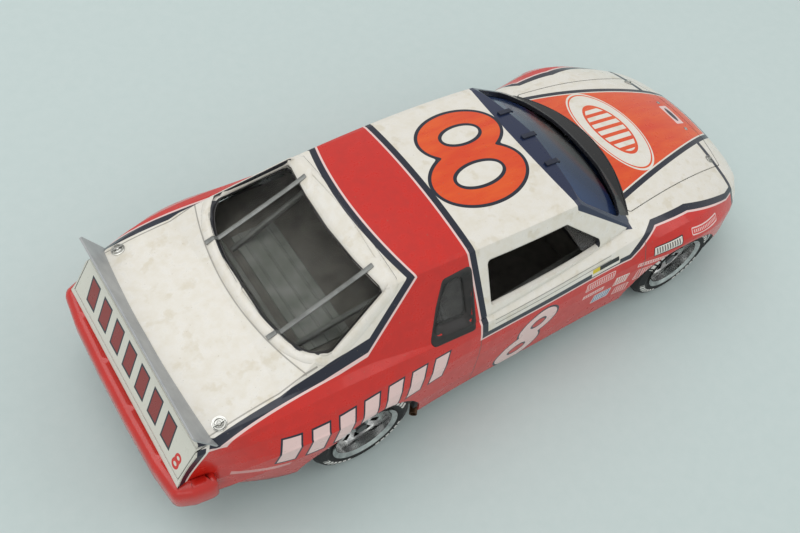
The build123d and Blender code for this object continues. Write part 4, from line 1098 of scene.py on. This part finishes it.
# Rear bumper: the left half of its plan, from its front end to the tail, the radius and steps
# of its corners, and how much of the front ends is left off. Section columns: inset, z.
BUMPER_PLAN = [(-91.6, 37.3), (-98.8, 36.3), (-103.3, 34.4), (-104.5, 24.0), (-104.9, 8.0)]
BUMPER_RADIUS = 3.2
BUMPER_CORNER_STEPS = 8
BUMPER_TRIM = 0.6
BUMPER_SECTION = [
    (3.8, 16.8), (1.8, 16.8), (0.6, 17.4), (0.0, 19.0), (0.0, 23.2), (0.4, 24.7), (1.5, 25.5), (3.8, 25.5),
]
whole_plan = BUMPER_PLAN + [(x, -y) for x, y in reversed(BUMPER_PLAN)]
closed = rounded(whole_plan, BUMPER_RADIUS, BUMPER_CORNER_STEPS)
first = min(range(len(closed)), key=lambda i: (closed[i] - Vector(BUMPER_PLAN[0])).length)
path = closed[first:] + closed[:first]
path = [point for point in path if point.x < BUMPER_PLAN[0][0] - BUMPER_TRIM]
mesh = bmesh.new()
rings = []
for i, point in enumerate(path):
    way = outward(path, i) if 0 < i < len(path) - 1 else Vector((0, 1 if point.y > 0 else -1))
    rings.append([(point.x - way.x * inset, point.y - way.y * inset, z) for inset, z in BUMPER_SECTION])
prism(mesh, rings)
bumper = add("rear_bumper_skin", mesh)
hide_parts("rear_bumper")
bumper_red = plain("bumper_red", "D0261B", "BE231A", rough=0.28, grain=0.7, depth=0.04, coat=0.4)
finish_piece(bumper, bumper_red)

# Spoiler: a thin blade that leans back off the deck's rear edge, with x, z of its foot and top.
# Ends columns: share of the half width, how much lower the top is there.
SPOILER_FOOT = (-89.9, 36.8)
SPOILER_TOP = (-95.4, 46.0)
SPOILER_WALL = 0.6
SPOILER_HALF_WIDTH = 33.0
SPOILER_ENDS = [(-1, 0.5), (-0.985, 0.0), (0.985, 0.0), (1, 0.5)]
SPOILER_LEAN = 0.6
SPOILER_BEVEL = 0.12
mesh = bmesh.new()
rings = []
half = SPOILER_WALL / 2
x0, z0 = SPOILER_FOOT
for share, lower in SPOILER_ENDS:
    y = share * SPOILER_HALF_WIDTH
    x1 = SPOILER_TOP[0] + SPOILER_LEAN * lower
    z1 = SPOILER_TOP[1] - lower
    rings.append([
        (x0 + half, y, z0), (x1 + half, y, z1 - SPOILER_BEVEL), (x1 + half / 2, y, z1),
        (x1 - half / 2, y, z1), (x1 - half, y, z1 - SPOILER_BEVEL), (x0 - half, y, z0),
    ])
prism(mesh, rings)
spoiler = add("rear_spoiler_blade", mesh, smooth=False)
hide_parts("rear_spoiler")
spoiler_grey = plain("spoiler_grey", "A9ACAC", "989B9C", rough=0.38, grain=0.9, coat=0.2)
finish_piece(spoiler, spoiler_grey)

# Rear window straps: bars with a low ridge over the pane, raised towards their ends. The rise
# over the skin is the clearance plus the end's rise, which grows with this power.
STRAP_Y = 16.7
STRAP_HALF_WIDTH = 0.65
STRAP_HALF_WALL = 0.15
STRAP_RIDGE = 0.3
STRAP_ENDS = (-38.4, -68.2)
STRAP_STEPS = 24
STRAP_CLEARANCE = 0.2
STRAP_END_RISE = 0.45
STRAP_RISE_POWER = 4
mesh = bmesh.new()
for y in (-STRAP_Y, STRAP_Y):
    rings = []
    for step in range(STRAP_STEPS + 1):
        x = STRAP_ENDS[0] + (STRAP_ENDS[1] - STRAP_ENDS[0]) * step / STRAP_STEPS
        end = abs(2 * step / STRAP_STEPS - 1)
        skin = to_skin(rear_skin, (x, y, ABOVE_Z), DOWN)[0]
        z = skin.z + STRAP_CLEARANCE + STRAP_END_RISE * end ** STRAP_RISE_POWER
        rings.append([
            (x, y - STRAP_HALF_WIDTH, z - STRAP_HALF_WALL), (x, y - STRAP_HALF_WIDTH, z + STRAP_HALF_WALL),
            (x, y, z + STRAP_RIDGE),
            (x, y + STRAP_HALF_WIDTH, z + STRAP_HALF_WALL), (x, y + STRAP_HALF_WIDTH, z - STRAP_HALF_WALL),
        ])
    prism(mesh, rings)
straps = add("rear_straps", mesh, smooth=False)
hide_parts("rear_window_straps")
finish_piece(straps, plain("strap_grey", "8E908D", "70726F", rough=0.4, grain=1.5, metal=0.5))

# Pin heads, in shares of the plate's radius. Section columns: radius, height. The clip is a
# short bar of six sides with its reach to each end, height and radius.
PIN_SECTION = [
    (0.02, 0.42), (0.24, 0.4), (0.34, 0.2), (0.58, 0.16), (0.66, 0.3), (0.8, 0.3), (0.86, 0.14),
    (1.0, 0.12), (1.0, -0.3),
]
PIN_SIDES = 28
CLIP_REACH = 0.8
CLIP_HEIGHT = 0.36
CLIP_RADIUS = 0.12
CLIP_ANGLES = [pi * side / 3 for side in range(6)]

# Pins. Columns: x, y, radius.
DECK_PINS = [(-87.6, 29.2, 1.9), (-87.6, -29.2, 1.9)]
HOOD_PINS = [(92.2, 20.0, 1.4), (92.2, -20.0, 1.4), (93.7, 6.8, 0.7), (93.7, -6.8, 0.7)]


def pin_heads(name, places, node, material):
    """Heads with a plate and a clip, on the body's skin."""
    mesh = bmesh.new()
    for x, y, radius in places:
        hit, normal = to_skin(body_skin, (x, y, ABOVE_Z), DOWN)
        turn = DOWN.rotation_difference(-normal)
        rings = []
        for share, rise in PIN_SECTION:
            ring = []
            for step in range(PIN_SIDES):
                angle = 2 * pi * step / PIN_SIDES
                offset = Vector((cos(angle) * share, sin(angle) * share, rise)) * radius
                ring.append(hit + turn @ offset)
            rings.append(ring)
        prism(mesh, rings)
        clip = []
        for along in (-CLIP_REACH, CLIP_REACH):
            ring = []
            for angle in CLIP_ANGLES:
                rise = CLIP_HEIGHT + CLIP_RADIUS * sin(angle)
                offset = Vector((along, CLIP_RADIUS * cos(angle), rise)) * radius
                ring.append(hit + turn @ offset)
            clip.append(ring)
        prism(mesh, clip)
    bmesh.ops.recalc_face_normals(mesh, faces=mesh.faces)
    piece = add(name, mesh, smooth=False)
    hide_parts(node)
    finish_piece(piece, material)


chrome = plain("pin_chrome", "D9D9D4", "8F8F8A", rough=0.16, grain=2.5, depth=0.05, metal=1.0)
pin_heads("deck_pin_heads", DECK_PINS, "deck_pins", chrome)
pin_heads("hood_pin_heads", HOOD_PINS, "hood_pins", chrome)

# Floor, lamps, world and camera
bpy.ops.mesh.primitive_plane_add(size=FLOOR_SIZE, location=(0, 0, 0))
floor = bpy.context.object
floor.name = "floor"
card = Net("floor_card", Roughness=0.9)
mottle = card.noise(scale=0.25, detail=3, roughness=0.6)
card.set("Base Color", card.mix(mottle, srgb("C3D3D1"), srgb("CBD9D7")))
floor.data.materials.append(card.material)

for index, (place, size, power) in enumerate(LAMPS):
    data = bpy.data.lights.new(f"lamp_{index}", "AREA")
    data.size = size
    data.energy = power
    lamp = bpy.data.objects.new(f"lamp_{index}", data)
    lamp.location = place
    lamp.rotation_euler = (-Vector(place)).to_track_quat("-Z", "Y").to_euler()
    bpy.context.collection.objects.link(lamp)

world = bpy.data.worlds.new("studio")
world.use_nodes = True
world.node_tree.nodes["Background"].inputs["Color"].default_value = (1, 1, 1, 1)
world.node_tree.nodes["Background"].inputs["Strength"].default_value = WORLD_STRENGTH
bpy.context.scene.world = world
bpy.context.scene.view_settings.view_transform = "Standard"

camera_data = bpy.data.cameras.new("camera")
camera_data.lens = LENS
camera_data.sensor_width = SENSOR_WIDTH
camera_data.clip_start = NEAREST
camera = bpy.data.objects.new("camera", camera_data)
look = LOOK.normalized()
right = (RIGHT - look * RIGHT.dot(look)).normalized()
up = right.cross(look)
turn = Matrix((right, up, -look)).transposed().to_4x4()
camera.matrix_world = Matrix.Translation(EYE) @ turn
bpy.context.collection.objects.link(camera)
bpy.context.scene.camera = camera
